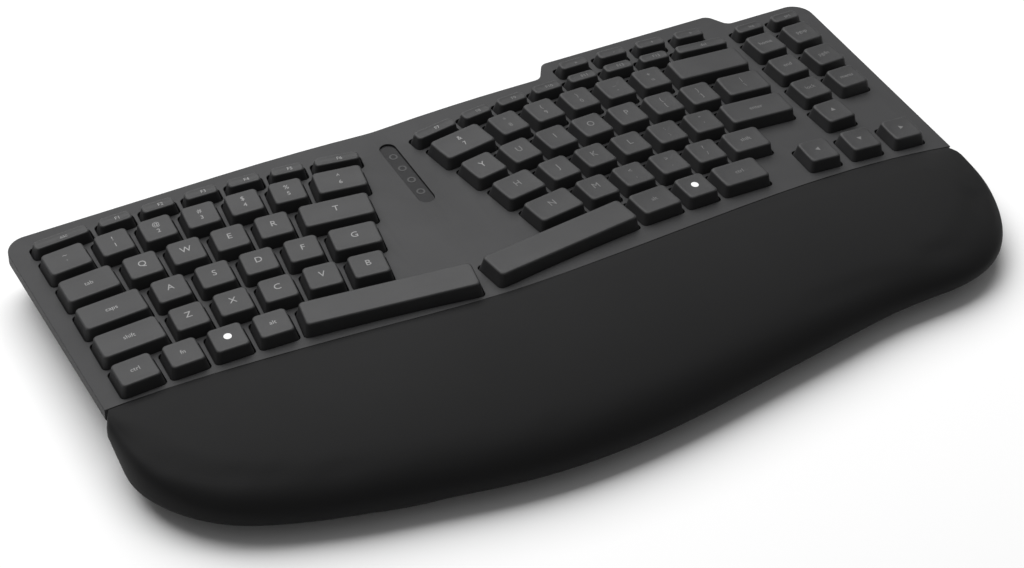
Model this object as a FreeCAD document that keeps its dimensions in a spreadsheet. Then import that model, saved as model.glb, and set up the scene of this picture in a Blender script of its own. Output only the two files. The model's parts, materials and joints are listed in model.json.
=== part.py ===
import FreeCAD, Part
import math
import os

from FreeCAD import Placement, Rotation, Vector

# A one-piece ergonomic tenkeyless keyboard: a crowned deck that falls to both sides from its middle, two
# splayed fields of low key caps with a bare panel between them, and a padded palm rest along the front.
# The origin is under the middle of the whole keyboard, on the desk; X runs to the right, Y to the rear.

doc = FreeCAD.newDocument("Keyboard")
sheet = doc.addObject("Spreadsheet::Sheet", "Sizes")

SIZES = [
    # overall plan, measured from the middle line between the two halves
    ("left_reach", 166.5),
    ("right_reach", 232.5),
    ("apex_rear", 63.45),
    ("splay_angle", 4.0),
    ("tent_angle", 4.0),
    ("crown_radius", 1000.0),
    ("deck_height", 32.0),
    ("side_corner", 9.0),
    ("rear_margin", 11.5),
    ("hump_depth", 9.5),
    ("hump_start", 87.0),
    ("hump_end", 190.0),
    ("hump_slant", 6.0),
    # palm rest plan
    ("seam_left", 13.75),
    ("seam_right", 19.15),
    ("seam_middle", 31.15),
    ("palm_depth", 79.5),
    ("palm_side_step", -17.0),
    ("palm_corner", 27.0),
    ("cushion_gap", 0.4),
    ("nose_height", 12.0),
    ("nose_roll", 4.0),
    ("nose_inset", 0.4),
    ("cushion_crown", 4.0),
    ("cushion_end", 1.0),
    ("cushion_end_height", 0.9),
    ("cushion_turn", 6.0),
    ("cushion_full", 16.0),
    # shells
    ("deck_plate", 2.0),
    ("side_wall", 2.2),
    ("wall_break", 18.0),
    ("wall_draft", 30.0),
    ("foot_height", 2.0),
    ("floor_plate", 1.8),
    ("rim_top", 4.6),
    ("part_gap", 0.3),
    ("carrier_plate", 1.8),
    ("carrier_inset", 4.0),
    # keys
    ("key_pitch", 19.05),
    ("half_pitch", 10.4),
    ("key_spacing", 2.45),
    ("key_rise", 5.4),
    ("key_skirt", 1.6),
    ("key_taper", 1.25),
    ("key_corner", 1.6),
    ("key_wall", 1.2),
    ("key_roof", 1.4),
    ("dish_radius", 34.0),
    ("dish_depth", 0.55),
    ("key_travel", 3.0),
    ("key_clearance", 0.4),
    ("outer_left", 159.0),
    ("outer_right", 180.5),
    ("outer_shift", 157.0),
    ("outer_control", 144.0),
    ("inner_edge", 15.0),
    ("inner_slope", 0.215),
    ("space_left_inner", -2.9),
    ("space_right_inner", -6.7),
    ("space_left_angle", 5.4),
    ("space_right_angle", 4.7),
    ("space_drop", 1.0),
    ("bow_radius", 700.0),
    ("bow_middle", 105.0),
    ("nav_first", 194.3),
    ("nav_pitch", 20.4),
    ("arrow_left", 171.6),
    ("arrow_pitch", 21.8),
    ("arrow_drop", 3.8),
    ("media_first", 5.55),
    ("media_pitch", 1.07),
    ("modifier_wide", 1.25),
    # bars under the space bars
    ("bar_radius", 0.6),
    ("bar_arm", 4.4),
    ("bar_bend", 1.8),
    ("bar_end", 2.0),
    ("bar_gap", 0.3),
    # what the keys press on, as depths below the deck's surface
    ("stem_width", 4.0),
    ("stem_depth", 2.6),
    ("stem_gap", 0.3),
    ("chimney_wall", 0.75),
    ("guide_plate", 1.2),
    ("guide_room", 0.6),
    ("chimney_gap", 1.7),
    ("stem_below", 0.5),
    ("dome_gap", 0.3),
    ("dome_rise", 3.0),
    ("dome_foot", 8.0),
    ("dome_top", 4.6),
    ("dome_sheet", 0.6),
    ("membrane", 0.5),
    ("backing", 0.8),
    ("layer_side", 7.3),
    ("layer_rear", 4.4),
    ("layer_front", 8.4),
    ("layer_shift", 2.0),
    # middle panel
    ("window_length", 44.0),
    ("window_width", 7.4),
    ("window_depth", 1.0),
    ("window_recess", 1.2),
    ("window_rear", 16.1),
    ("window_side", 1.5),
    ("window_gap", 0.15),
    # electronics
    ("board_width", 76.0),
    ("board_depth", 26.0),
    ("board_plate", 1.6),
    ("board_height", 8.0),
    ("board_rear_gap", 3.0),
    ("board_post_inset", 4.0),
    ("solder_gap", 0.5),
    ("post_radius", 2.4),
    ("post_gap", 0.2),
    ("post_near", 52.0),
    ("post_between", 100.0),
    ("post_far", 150.0),
    ("post_rear", 4.0),
    ("post_front", 44.0),
    ("cell_width", 70.0),
    ("cell_depth", 36.0),
    ("cell_thick", 5.5),
    ("cell_gap", 4.0),
    ("ribbon_width", 18.0),
    ("ribbon_thick", 0.4),
    ("ribbon_lap", 5.0),
    ("ribbon_bend", 6.0),
    ("ribbon_rear", 3.0),
    ("socket_width", 9.0),
    ("socket_depth", 7.4),
    ("socket_tall", 3.2),
    ("socket_side", 22.0),
    ("socket_sunk", 0.6),
    ("switch_side", 20.0),
    ("switch_width", 5.0),
    ("switch_tall", 2.6),
    ("switch_travel", 4.0),
    ("switch_proud", 0.8),
    ("switch_inside", 3.0),
    # fasteners, feet, legs
    ("screw_radius", 1.3),
    ("screw_head", 2.7),
    ("screw_head_tall", 1.3),
    ("screw_grip", 6.0),
    ("screw_room", 0.5),
    ("head_gap", 0.2),
    ("head_sunk", 0.2),
    ("shank_gap", 0.3),
    ("slot_long", 3.4),
    ("slot_wide", 0.8),
    ("boss_radius", 2.8),
    ("thread_gap", 0.1),
    ("well_radius", 4.6),
    ("well_gap", 0.1),
    ("pass_gap", 0.5),
    ("foot_long", 26.0),
    ("foot_wide", 9.0),
    ("leg_long", 27.0),
    ("leg_wide", 6.0),
    ("leg_thick", 3.6),
    ("leg_pin", 1.2),
    ("pin_gap", 0.06),
    ("leg_tip", 1.0),
    ("leg_gap", 0.5),
    ("leg_box_wall", 1.2),
    ("leg_rear", 12.0),
    ("leg_left", 128.0),
    ("leg_right", 150.0),
]

for row_number, (alias, size) in enumerate(SIZES, start=1):
    cell = "B%d" % row_number
    sheet.set("A%d" % row_number, alias)
    sheet.set(cell, str(size))
    sheet.setAlias(cell, alias)
doc.recompute()


def size_of(alias):
    return float(sheet.get(alias))


splay = math.radians(size_of("splay_angle"))
tent = math.radians(size_of("tent_angle"))
pitch = size_of("key_pitch")
middle_x = (size_of("left_reach") - size_of("right_reach")) / 2
apex_y = size_of("apex_rear")
function_row = (pitch + size_of("half_pitch")) / 2
media_row = function_row + size_of("half_pitch")
rear_line = function_row + size_of("rear_margin")
hump_line = rear_line + size_of("hump_depth")
plane_height = size_of("deck_height") + size_of("crown_radius") * (1 / math.cos(tent) - 1)

LEFT = -1
RIGHT = 1


# The two halves: a field of keys is laid out flat in its own frame, X along the rows from the middle line,
# Y to the rear from the number row. It is turned by the splay and laid on the deck's crown.
def row_edge(side, reach, row_y):
    """Distance from the middle along a row to a line that runs straight front to rear."""
    return (reach + row_y * math.sin(splay)) / math.cos(splay)


def inner_edge(row_y):
    return size_of("inner_edge") - size_of("inner_slope") * row_y


def plan_line(side, distance, row_y):
    """Plan point of a row's line at a given distance to the side of the middle."""
    return Vector(middle_x + side * distance, apex_y + row_y / math.cos(splay) + distance * math.tan(splay), 0)


crown = size_of("crown_radius")
flat_from = crown * math.sin(tent)


def deck_drop(distance):
    """Height of the deck's surface at a distance from the middle line."""
    if distance <= flat_from:
        return size_of("deck_height") - crown + math.sqrt(crown ** 2 - distance ** 2)
    return plane_height - distance * math.tan(tent)


def deck_frame(x, y, turn):
    """Frame on the deck's surface over a plan point, tilted with the crown and turned in plan."""
    across = x - middle_x
    slope = math.asin(max(-flat_from, min(flat_from, across)) / crown)
    tilt = Rotation(Vector(0, 1, 0), math.degrees(slope))
    return Placement(Vector(x, y, deck_drop(abs(across))), tilt.multiply(Rotation(Vector(0, 0, 1), turn)))


def mirrored(point):
    return Vector(-point.x, point.y, point.z)


# Plan outline of the whole keyboard
def rounded(points, radii):
    """Closed face of a plan polygon whose corners are rounded by arcs."""
    edges = []
    starts = []
    ends = []
    arcs = []
    for index, corner in enumerate(points):
        before = points[index - 1] - corner
        after = points[(index + 1) % len(points)] - corner
        turn = before.getAngle(after)
        reach = radii[index] / math.tan(turn / 2)
        start = corner + before.normalize() * reach
        end = corner + after.normalize() * reach
        bisector = (before + after).normalize()
        centre = corner + bisector * (radii[index] / math.sin(turn / 2))
        starts.append(start)
        ends.append(end)
        arcs.append(centre - bisector * radii[index])
    for index in range(len(points)):
        edges.append(Part.Arc(starts[index], arcs[index], ends[index]).toShape())
        following = starts[(index + 1) % len(points)]
        if (following - ends[index]).Length > 1e-6:
            edges.append(Part.LineSegment(ends[index], following).toShape())
    return Part.Face(Part.Wire(edges))


def rear_points():
    """Rear edge from the left end to the right end, with the raised section's step."""
    start = size_of("hump_start")
    end = size_of("hump_end")
    slant = size_of("hump_slant")
    return [
        plan_line(LEFT, size_of("left_reach"), rear_line),
        plan_line(RIGHT, 0, rear_line),
        plan_line(RIGHT, start, rear_line),
        plan_line(RIGHT, start + slant, hump_line),
        plan_line(RIGHT, end - slant, hump_line),
        plan_line(RIGHT, end, rear_line),
        plan_line(RIGHT, size_of("right_reach"), rear_line),
    ]


def seam_curve(offset):
    """Line between deck and palm rest, a shallow V with a round middle, moved to the rear by an offset."""
    left_y = -size_of("seam_left") + offset
    right_y = -size_of("seam_right") + offset
    middle_y = -size_of("seam_middle") + offset
    points = [
        Vector(middle_x - 1.05 * size_of("left_reach"), left_y, 0),
        Vector(middle_x - 0.36 * size_of("left_reach"), middle_y + 0.36 * (left_y - middle_y), 0),
        Vector(middle_x, middle_y, 0),
        Vector(middle_x + 0.30 * size_of("right_reach"), middle_y + 0.36 * (right_y - middle_y), 0),
        Vector(middle_x + 1.05 * size_of("right_reach"), right_y, 0),
    ]
    curve = Part.BSplineCurve()
    curve.interpolate(points)
    return curve


def front_points():
    """Corners of the front edge from the right side round to the left, before they are rounded."""
    left = size_of("left_reach")
    right = size_of("right_reach")
    depth = size_of("palm_depth")
    seam = -size_of("seam_middle")
    side_y = seam + size_of("palm_side_step")
    corners = [
        (right, side_y + 0.11 * depth),
        (0.952 * right, seam - 0.57 * depth),
        (0.397 * right, seam - 0.865 * depth),
        (0.042 * right, seam - 1.03 * depth),
        (-0.51 * left, seam - 0.915 * depth),
        (-0.83 * left, seam - 0.62 * depth),
        (-left, side_y),
    ]
    return [Vector(middle_x + x, y, 0) for x, y in corners]


rear_radii = [size_of("side_corner"), 60, 5, 5, 5, 5, size_of("side_corner")]
front_radii = [60, size_of("palm_corner"), 200, 300, 150, 80, 1.6 * size_of("palm_corner")]


def plan_outline(rear_inset=0.0, side_inset=0.0, height=0.0):
    """Face of the whole plan at a height; the rear edge and the rest can each be set in by a distance."""
    points = rear_points() + front_points()
    insets = [rear_inset] * (len(rear_points()) - 1) + [side_inset] * (len(front_points()) + 1)
    moved = []
    for index, corner in enumerate(points):
        before = (corner - points[index - 1]).normalize()
        after = (points[(index + 1) % len(points)] - corner).normalize()
        turn = before.cross(after).z
        first = Vector(before.y, -before.x, 0) * insets[index - 1]
        second = Vector(after.y, -after.x, 0) * insets[index]
        along = (second - first).dot(Vector(after.y, -after.x, 0)) / turn
        moved.append(corner + first + before * along + Vector(0, 0, height))
    return rounded(moved[::-1], (rear_radii + front_radii)[::-1])


whole_outline = plan_outline()


def wall_inset(height):
    """The side and front walls lean inwards below the break line."""
    return max(0.0, size_of("wall_break") - height) * math.tan(math.radians(size_of("wall_draft")))


def body_block(wall, low, high):
    """Solid inside a wall of a given thickness: upright at the rear, leaning inwards at the sides."""
    levels = [low, high]
    if low < size_of("wall_break") < high:
        levels.insert(1, size_of("wall_break"))
    wires = [plan_outline(wall, wall + wall_inset(level), level).OuterWire for level in levels]
    return Part.makeLoft(wires, True, True)


def add_shape(name, shape, label=None):
    feature = doc.addObject("Part::Feature", name)
    feature.Shape = shape
    if label:
        feature.Label = label
    return feature


def extrude(name, base, length, direction=Vector(0, 0, 1)):
    """Straight extrusion whose length is an expression on the sheet."""
    prism = doc.addObject("Part::Extrusion", name)
    prism.Base = base
    prism.DirMode = "Custom"
    prism.Dir = direction
    prism.Solid = True
    prism.setExpression("LengthFwd", length)
    return prism


def common(name, first, second):
    result = doc.addObject("Part::Common", name)
    result.Base = first
    result.Tool = second
    return result


def cut(name, base, tool):
    result = doc.addObject("Part::Cut", name)
    result.Base = base
    result.Tool = tool
    return result


def fuse(name, pieces):
    result = doc.addObject("Part::MultiFuse", name)
    result.Shapes = pieces
    return result


def box(name, width, depth, height, at):
    """Box bound to the sheet, centred in plan on a point that gives its underside."""
    solid = doc.addObject("Part::Box", name)
    solid.setExpression("Length", width)
    solid.setExpression("Width", depth)
    solid.setExpression("Height", height)
    doc.recompute([solid])
    corner = Vector(at.x - solid.Length.Value / 2, at.y - solid.Width.Value / 2, at.z)
    solid.Placement = Placement(corner, Rotation())
    return solid


SUB_PARTS = []


def keep(feature, label):
    feature.Label = label
    SUB_PARTS.append(feature)
    return feature


# Slabs that follow the deck's crown: everything between two depths below the deck's surface
reach_x = size_of("left_reach") + size_of("right_reach")
reach_y = reach_x / 2


def crown_profile(top_depth, bottom_depth):
    """Face in the XZ plane between two parallels of the deck's surface; a flat bottom if none is given."""
    def upper(depth):
        radius = crown - depth
        centre = size_of("deck_height") - crown
        side = Vector(radius * math.sin(tent), 0, centre + radius * math.cos(tent))
        far = reach_x - side.x
        end = Vector(reach_x, 0, side.z - far * math.tan(tent))
        return centre + radius, side, end

    top, side, end = upper(top_depth)
    edges = [
        Part.LineSegment(mirrored(end), mirrored(side)).toShape(),
        Part.Arc(mirrored(side), Vector(0, 0, top), side).toShape(),
        Part.LineSegment(side, end).toShape(),
    ]
    if bottom_depth is None:
        low = -size_of("deck_height")
        edges += [
            Part.LineSegment(end, Vector(reach_x, 0, low)).toShape(),
            Part.LineSegment(Vector(reach_x, 0, low), Vector(-reach_x, 0, low)).toShape(),
            Part.LineSegment(Vector(-reach_x, 0, low), mirrored(end)).toShape(),
        ]
    else:
        low, low_side, low_end = upper(bottom_depth)
        edges += [
            Part.LineSegment(end, low_end).toShape(),
            Part.LineSegment(low_end, low_side).toShape(),
            Part.Arc(low_side, Vector(0, 0, low), mirrored(low_side)).toShape(),
            Part.LineSegment(mirrored(low_side), mirrored(low_end)).toShape(),
            Part.LineSegment(mirrored(low_end), mirrored(end)).toShape(),
        ]
    face = Part.Face(Part.Wire(edges))
    face.translate(Vector(middle_x, -reach_y, 0))
    return face


def crown_slab(top_depth, bottom_depth=None):
    return crown_profile(top_depth, bottom_depth).extrude(Vector(0, 2 * reach_y, 0))


# Key caps: a hollow cap with tapered sides, rounded corners, a shallow dish and one stem
def rounded_rectangle(width, depth, corner, height):
    x = width / 2
    y = depth / 2
    points = [Vector(-x, -y, 0), Vector(x, -y, 0), Vector(x, y, 0), Vector(-x, y, 0)]
    wire = rounded(points, [corner] * 4).OuterWire
    wire.translate(Vector(0, 0, height))
    return wire


def key_solid(width, depth):
    """Cap in its own frame: centre of the key, Z up from the deck's surface."""
    rise = size_of("key_rise")
    skirt = size_of("key_skirt")
    wall = size_of("key_wall")
    corner = size_of("key_corner")
    taper = size_of("key_taper")
    base_width = width - size_of("key_spacing")
    base_depth = depth - size_of("key_spacing")
    top_width = base_width - 2 * taper
    top_depth = base_depth - 2 * taper
    outside = Part.makeLoft([
        rounded_rectangle(base_width, base_depth, corner, -skirt),
        rounded_rectangle(top_width, top_depth, corner, rise),
    ], True, True)
    inner_corner = corner - wall / 2
    ceiling = rise - size_of("key_roof")
    inside = Part.makeLoft([
        rounded_rectangle(base_width - 2 * wall, base_depth - 2 * wall, inner_corner, -skirt - 0.1),
        rounded_rectangle(top_width - 2 * wall, top_depth - 2 * wall, inner_corner, ceiling),
    ], True, True)
    radius = size_of("dish_radius")
    dish = Part.makeCylinder(
        radius, 3 * base_width, Vector(-1.5 * base_width, 0, rise - size_of("dish_depth") + radius), Vector(1, 0, 0))
    stem_low = -stem_end
    stem = Part.makeBox(
        size_of("stem_width"), size_of("stem_depth"), ceiling + stem_low + 0.2,
        Vector(-size_of("stem_width") / 2, -size_of("stem_depth") / 2, -stem_low))
    cap = outside.cut(dish).cut(inside)
    return cap.fuse(stem).removeSplitter()


# Depths below the deck's surface of the layers that carry the keys
guide_top = size_of("key_skirt") + size_of("key_travel") + size_of("guide_room")
guide_bottom = guide_top + size_of("guide_plate")
stem_end = -(guide_bottom + size_of("stem_below"))
dome_peak = -stem_end + size_of("dome_gap")
sheet_top = dome_peak + size_of("dome_rise")
sheet_bottom = sheet_top + size_of("dome_sheet")
membrane_bottom = sheet_bottom + size_of("membrane")
backing_bottom = membrane_bottom + size_of("backing")

# The key fields. Every key is (side, centre along the row, centre across the rows, width, depth, extra turn).
half_pitch = size_of("half_pitch")
row_depths = {"function": half_pitch, "media": half_pitch}
row_heights = {
    "function": function_row,
    "media": media_row,
    "number": 0.0,
    "upper": -pitch,
    "home": -2 * pitch,
    "lower": -3 * pitch,
    "bottom": -4 * pitch,
    "arrow": -4 * pitch - size_of("arrow_drop"),
}

# Centre of the first plain key of each row, in key pitches from the middle line
left_first = {"function": 6.40, "number": 6.66, "upper": 6.34, "home": 6.04, "lower": 5.98, "bottom": 6.46}
right_first = {"function": 2.45, "number": 2.87, "upper": 2.55, "home": 2.97, "lower": 3.35, "bottom": 5.38}

GROUPS = {}


def add_key(group, side, row, near, far):
    """A key between two distances from the middle line; its row bows towards the user at both ends."""
    reach = (near + far) / 2
    away = reach - size_of("bow_middle")
    height = row_heights[row] - away ** 2 / (2 * size_of("bow_radius"))
    turn = -side * math.degrees(away / size_of("bow_radius"))
    depth = row_depths.get(row, pitch)
    GROUPS.setdefault(group, []).append((side, side * reach, height, far - near, depth, turn))


def add_plain_keys(group, side, row, first, count):
    """A run of plain keys outwards from the middle on the right, inwards to it on the left."""
    for index in range(count):
        centre = (first + side * index) * pitch
        add_key(group, side, row, centre - pitch / 2, centre + pitch / 2)


def fill_left_row(row, outer_name, plain_name, inner_name, count):
    first = left_first[row]
    height = row_heights[row]
    outer = row_edge(LEFT, size_of("outer_left"), height)
    add_key(outer_name, LEFT, row, (first + 0.5) * pitch, outer)
    add_plain_keys(plain_name, LEFT, row, first, count)
    if inner_name:
        add_key(inner_name, LEFT, row, inner_edge(height), (first - count + 0.5) * pitch)


def fill_right_row(row, inner_name, plain_name, outer_name, count, outer_reach):
    first = right_first[row]
    height = row_heights[row]
    outer = row_edge(RIGHT, size_of(outer_reach), height)
    if inner_name:
        add_key(inner_name, RIGHT, row, inner_edge(height), (first - 0.5) * pitch)
    add_plain_keys(plain_name, RIGHT, row, first, count)
    add_key(outer_name, RIGHT, row, (first + count - 0.5) * pitch, outer)


fill_left_row("function", "key_escape", "keys_f1_to_f5", "key_f6", 5)
fill_left_row("number", "key_backquote", "keys_1_to_5", "key_6", 5)
fill_left_row("upper", "key_tab", "keys_q_to_r", "key_t", 4)
fill_left_row("home", "key_caps_lock", "keys_a_to_f", "key_g", 4)
fill_left_row("lower", "key_shift_left", "keys_z_to_v", "key_b", 4)
fill_left_row("bottom", "key_control_left", "keys_modifiers_left", None, 3)
fill_right_row("function", "key_f7", "keys_f8_to_f12", "key_wide_function", 6, "outer_right")
fill_right_row("number", "key_7", "keys_8_to_equals", "key_backspace", 5, "outer_right")
fill_right_row("upper", "key_y", "keys_u_to_bracket", "key_backslash", 6, "outer_right")
fill_right_row("home", "key_h", "keys_j_to_quote", "key_enter", 5, "outer_right")
fill_right_row("lower", "key_n", "keys_m_to_slash", "key_shift_right", 4, "outer_shift")
fill_right_row("bottom", None, "keys_modifiers_right", "keys_modifiers_right", 1, "outer_control")

alt_far = (right_first["bottom"] - 0.5) * pitch
alt_near = alt_far - size_of("modifier_wide") * pitch
add_key("keys_modifiers_right", RIGHT, "bottom", alt_near, alt_far)

for index in range(4):
    media_centre = (size_of("media_first") + index * size_of("media_pitch")) * pitch
    add_key("keys_media", RIGHT, "media", media_centre - pitch / 2, media_centre + pitch / 2)


def add_nav_key(group, row, reach, turn=0.0):
    """A key of the straight block at the right."""
    depth = row_depths.get(row, pitch)
    height = row_heights[row] + (reach - size_of("nav_first")) * math.tan(math.radians(turn))
    centre = row_edge(RIGHT, reach, height)
    GROUPS.setdefault(group, []).append((RIGHT, centre, height, pitch, depth, turn))


for column in (0, 1):
    nav_reach = size_of("nav_first") + column * size_of("nav_pitch")
    add_nav_key("keys_nav_top", "function", nav_reach)
    for row in ("number", "upper", "home"):
        add_nav_key("keys_nav_six", row, nav_reach)
add_nav_key("key_arrow_up", "lower", size_of("nav_first"))
for column in range(3):
    arrow_reach = size_of("arrow_left") + column * size_of("arrow_pitch")
    add_nav_key("keys_arrow_row", "arrow", arrow_reach, -size_of("splay_angle"))


def add_space_bar(group, side, near, far, angle):
    """A space bar turned a little further about its outer end, so that its inner end is nearer the user."""
    length = far - near
    swing = math.radians(angle)
    centre = side * (far - length / 2 * math.cos(swing))
    height = row_heights["bottom"] - size_of("space_drop") - length / 2 * math.sin(swing)
    GROUPS[group] = [(side, centre, height, length, pitch, side * angle)]


add_space_bar("key_space_left", LEFT, size_of("space_left_inner"), (left_first["bottom"] - 2.5) * pitch,
              size_of("space_left_angle"))
add_space_bar("key_space_right", RIGHT, size_of("space_right_inner"), alt_near, size_of("space_right_angle"))

ALL_KEYS = [key for keys in GROUPS.values() for key in keys]


def key_place(key, depth=0.0):
    """Placement of a key's own frame on the deck, or at a depth below its surface."""
    side, centre, height, width, row_depth, turn = key
    angle = side * splay
    x = middle_x + centre * math.cos(angle) - height * math.sin(angle)
    y = apex_y + centre * math.sin(angle) + height * math.cos(angle)
    frame = deck_frame(x, y, side * size_of("splay_angle") + turn)
    return frame.multiply(Placement(Vector(0, 0, -depth), Rotation()))


def placed(shape, key, depth=0.0):
    copy = shape.copy()
    copy.Placement = key_place(key, depth)
    return copy


key_moulds = {}


def key_cap(key):
    side, centre, height, width, depth, turn = key
    mould = (round(width, 4), round(depth, 4))
    if mould not in key_moulds:
        key_moulds[mould] = key_solid(width, depth)
    return placed(key_moulds[mould], key)


for group, keys in GROUPS.items():
    caps = [key_cap(key) for key in keys]
    shape = caps[0] if len(caps) == 1 else Part.makeCompound(caps)
    keep(add_shape(group, shape), group)

# Steel bar under each space bar, clipped into the cap's ends
def stabiliser(group, name):
    key = GROUPS[group][0]
    width = key[3] - size_of("key_spacing")
    radius = size_of("bar_radius")
    span = width / 2 - size_of("key_wall") - size_of("key_taper") - size_of("bar_end")
    arm = size_of("bar_arm")
    bend = size_of("bar_bend")
    ceiling = size_of("key_rise") - size_of("key_roof") - radius - size_of("bar_gap")
    left_end = Vector(-span, 0, 0)
    left_bend = Vector(-span, arm - bend, 0)
    left_run = Vector(-span + bend, arm, 0)
    corner = bend * (1 - math.sqrt(0.5))
    left_arc = Vector(-span + corner, arm - corner, 0)
    path = Part.Wire([
        Part.LineSegment(left_end, left_bend).toShape(),
        Part.Arc(left_bend, left_arc, left_run).toShape(),
        Part.LineSegment(left_run, mirrored(left_run)).toShape(),
        Part.Arc(mirrored(left_run), mirrored(left_arc), mirrored(left_bend)).toShape(),
        Part.LineSegment(mirrored(left_bend), mirrored(left_end)).toShape(),
    ])
    section = Part.Wire(Part.makeCircle(radius, left_end, Vector(0, 1, 0)))
    bar = path.makePipeShell([section], True, False)
    keep(add_shape(name, placed(bar, key, -ceiling)), name)


stabiliser("key_space_left", "stabiliser_bar_left")
stabiliser("key_space_right", "stabiliser_bar_right")

# Top cover: crowned deck plate and side walls down to the parting line, with an opening round each key
above_all = size_of("deck_height") + 2 * size_of("key_rise")
cover_low = size_of("rim_top") + size_of("part_gap")
outline_block = add_shape("OutlineBlock", body_block(0.0, cover_low, above_all))
inner_block = add_shape("InnerBlock", body_block(size_of("side_wall"), size_of("rim_top"), above_all))


def behind_seam(offset, name):
    """Everything to the rear of the seam, as one tall block."""
    curve = seam_curve(offset).toShape()
    start = curve.firstVertex().Point
    end = curve.lastVertex().Point
    rear_left = Vector(start.x, reach_y, 0)
    rear_right = Vector(end.x, reach_y, 0)
    face = Part.Face(Part.Wire([
        curve,
        Part.LineSegment(end, rear_right).toShape(),
        Part.LineSegment(rear_right, rear_left).toShape(),
        Part.LineSegment(rear_left, start).toShape(),
    ]))
    return extrude(name, add_shape(name + "Plan", face), "Sizes.deck_height + 20")


deck_under = add_shape("DeckUnder", crown_slab(0.0))
cover_under = add_shape("CoverUnder", crown_slab(size_of("deck_plate")))
cover_outside = common("CoverPlan", outline_block, behind_seam(0.0, "DeckRegion"))
cover_solid = common("CoverSolid", cover_outside, deck_under)
hollow_plan = common("HollowPlan", inner_block, behind_seam(size_of("side_wall"), "HollowRegion"))
hollow = common("Hollow", hollow_plan, cover_under)
cover_shell = cut("CoverShell", cover_solid, hollow)


def opening_prism(key):
    side, centre, height, width, depth, turn = key
    room = size_of("key_spacing") - 2 * size_of("key_clearance")
    corner = size_of("key_corner") + size_of("key_clearance")
    reach = 3 * size_of("deck_plate")
    wire = rounded_rectangle(width - room, depth - room, corner, -reach)
    return placed(Part.Face(wire).extrude(Vector(0, 0, 2 * reach)), key)


window_centre = Vector(middle_x + size_of("window_side"),
                       apex_y + size_of("window_rear") - size_of("window_length") / 2, 0)


def capsule(length, width, low, high):
    """Upright capsule-shaped prism in the middle panel, along the line between the halves."""
    straight = length - width
    x = width / 2
    y = straight / 2
    wire = Part.Wire([
        Part.LineSegment(Vector(x, -y, low), Vector(x, y, low)).toShape(),
        Part.Arc(Vector(x, y, low), Vector(0, y + x, low), Vector(-x, y, low)).toShape(),
        Part.LineSegment(Vector(-x, y, low), Vector(-x, -y, low)).toShape(),
        Part.Arc(Vector(-x, -y, low), Vector(0, -y - x, low), Vector(x, -y, low)).toShape(),
    ])
    prism = Part.Face(wire).extrude(Vector(0, 0, high - low))
    prism.Placement = Placement(window_centre, Rotation())
    return prism


deck_top = size_of("deck_height")
recess_floor = deck_top - size_of("window_recess") - size_of("window_depth") / 2
window_seat = capsule(size_of("window_length"), size_of("window_width"), recess_floor, deck_top + 5)
openings = add_shape("KeyOpenings", Part.makeCompound([opening_prism(key) for key in ALL_KEYS] + [window_seat]))
cover_open = cut("CoverOpen", cover_shell, openings)

# Screws: four up into bosses of the key guide plate, between two rows of keys, three into the palm rest
between_rows = -pitch / 2
guide_screws = [plan_line(LEFT, 138.0, between_rows), plan_line(LEFT, 72.0, between_rows),
                plan_line(RIGHT, 72.0, between_rows), plan_line(RIGHT, 126.0, between_rows)]
front_y = -size_of("seam_middle") - 0.42 * size_of("palm_depth")
front_screws = [Vector(middle_x - 110.0, front_y + 8, 0), Vector(middle_x + 20.0, front_y - 8, 0),
                Vector(middle_x + 160.0, front_y, 0)]
boss_low = cover_low
bore = size_of("screw_radius") + size_of("thread_gap")
screw_top = boss_low + size_of("screw_grip")
palm_screw_top = boss_low + size_of("carrier_plate") - size_of("part_gap")

# Sockets in the rear wall: charging inlet and power switch slot, either side of the middle
board_top = size_of("board_height") + size_of("board_plate")
socket_x = middle_x - size_of("socket_side")
switch_x = middle_x + size_of("switch_side")


def rear_wall_y(x):
    return plan_line(RIGHT, abs(x - middle_x), rear_line).y


solder_top = board_top + size_of("solder_gap")
hole_low = solder_top - size_of("part_gap")
socket_hole = box("SocketHole", "Sizes.socket_width + 2 * Sizes.part_gap", "6 * Sizes.side_wall",
                  "Sizes.socket_tall + 2 * Sizes.part_gap",
                  Vector(socket_x, rear_wall_y(socket_x), hole_low))
switch_hole = box("SwitchHole", "Sizes.switch_width + Sizes.switch_travel + 2 * Sizes.part_gap",
                  "6 * Sizes.side_wall", "Sizes.switch_tall + 2 * Sizes.part_gap",
                  Vector(switch_x, rear_wall_y(switch_x), hole_low))
rear_holes = fuse("RearHoles", [socket_hole, switch_hole])
keep(cut("TopCover", cover_open, rear_holes), "top_cover")

# Dark window in the recess of the middle panel
window_top = recess_floor + size_of("window_depth")
window_fit = 2 * size_of("window_gap")
keep(add_shape("IndicatorWindow", capsule(
    size_of("window_length") - window_fit, size_of("window_width") - window_fit, recess_floor, window_top)),
    "indicator_window")

# Layers under the keys: one plan for all of them, following the deck's crown
layer_left = size_of("left_reach") - size_of("side_wall") - size_of("layer_side")
layer_right = size_of("right_reach") - size_of("side_wall") - size_of("layer_side")
layer_rear = function_row + size_of("layer_rear")
layer_hump = media_row + size_of("layer_rear")
layer_front = -4 * pitch - size_of("layer_front")
hump_left = (size_of("media_first") - 0.5) * pitch - size_of("layer_shift")
hump_right = (size_of("media_first") + 3 * size_of("media_pitch") + 0.5) * pitch - size_of("layer_shift")
layer_points = [
    plan_line(LEFT, layer_left, layer_rear),
    plan_line(LEFT, 0, layer_rear),
    plan_line(RIGHT, hump_left, layer_rear),
    plan_line(RIGHT, hump_left, layer_hump),
    plan_line(RIGHT, hump_right, layer_hump),
    plan_line(RIGHT, hump_right, layer_rear),
    plan_line(RIGHT, layer_right, layer_rear),
    plan_line(RIGHT, layer_right, layer_front),
    plan_line(LEFT, 0, layer_front),
    plan_line(LEFT, layer_left, layer_front),
]
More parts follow.
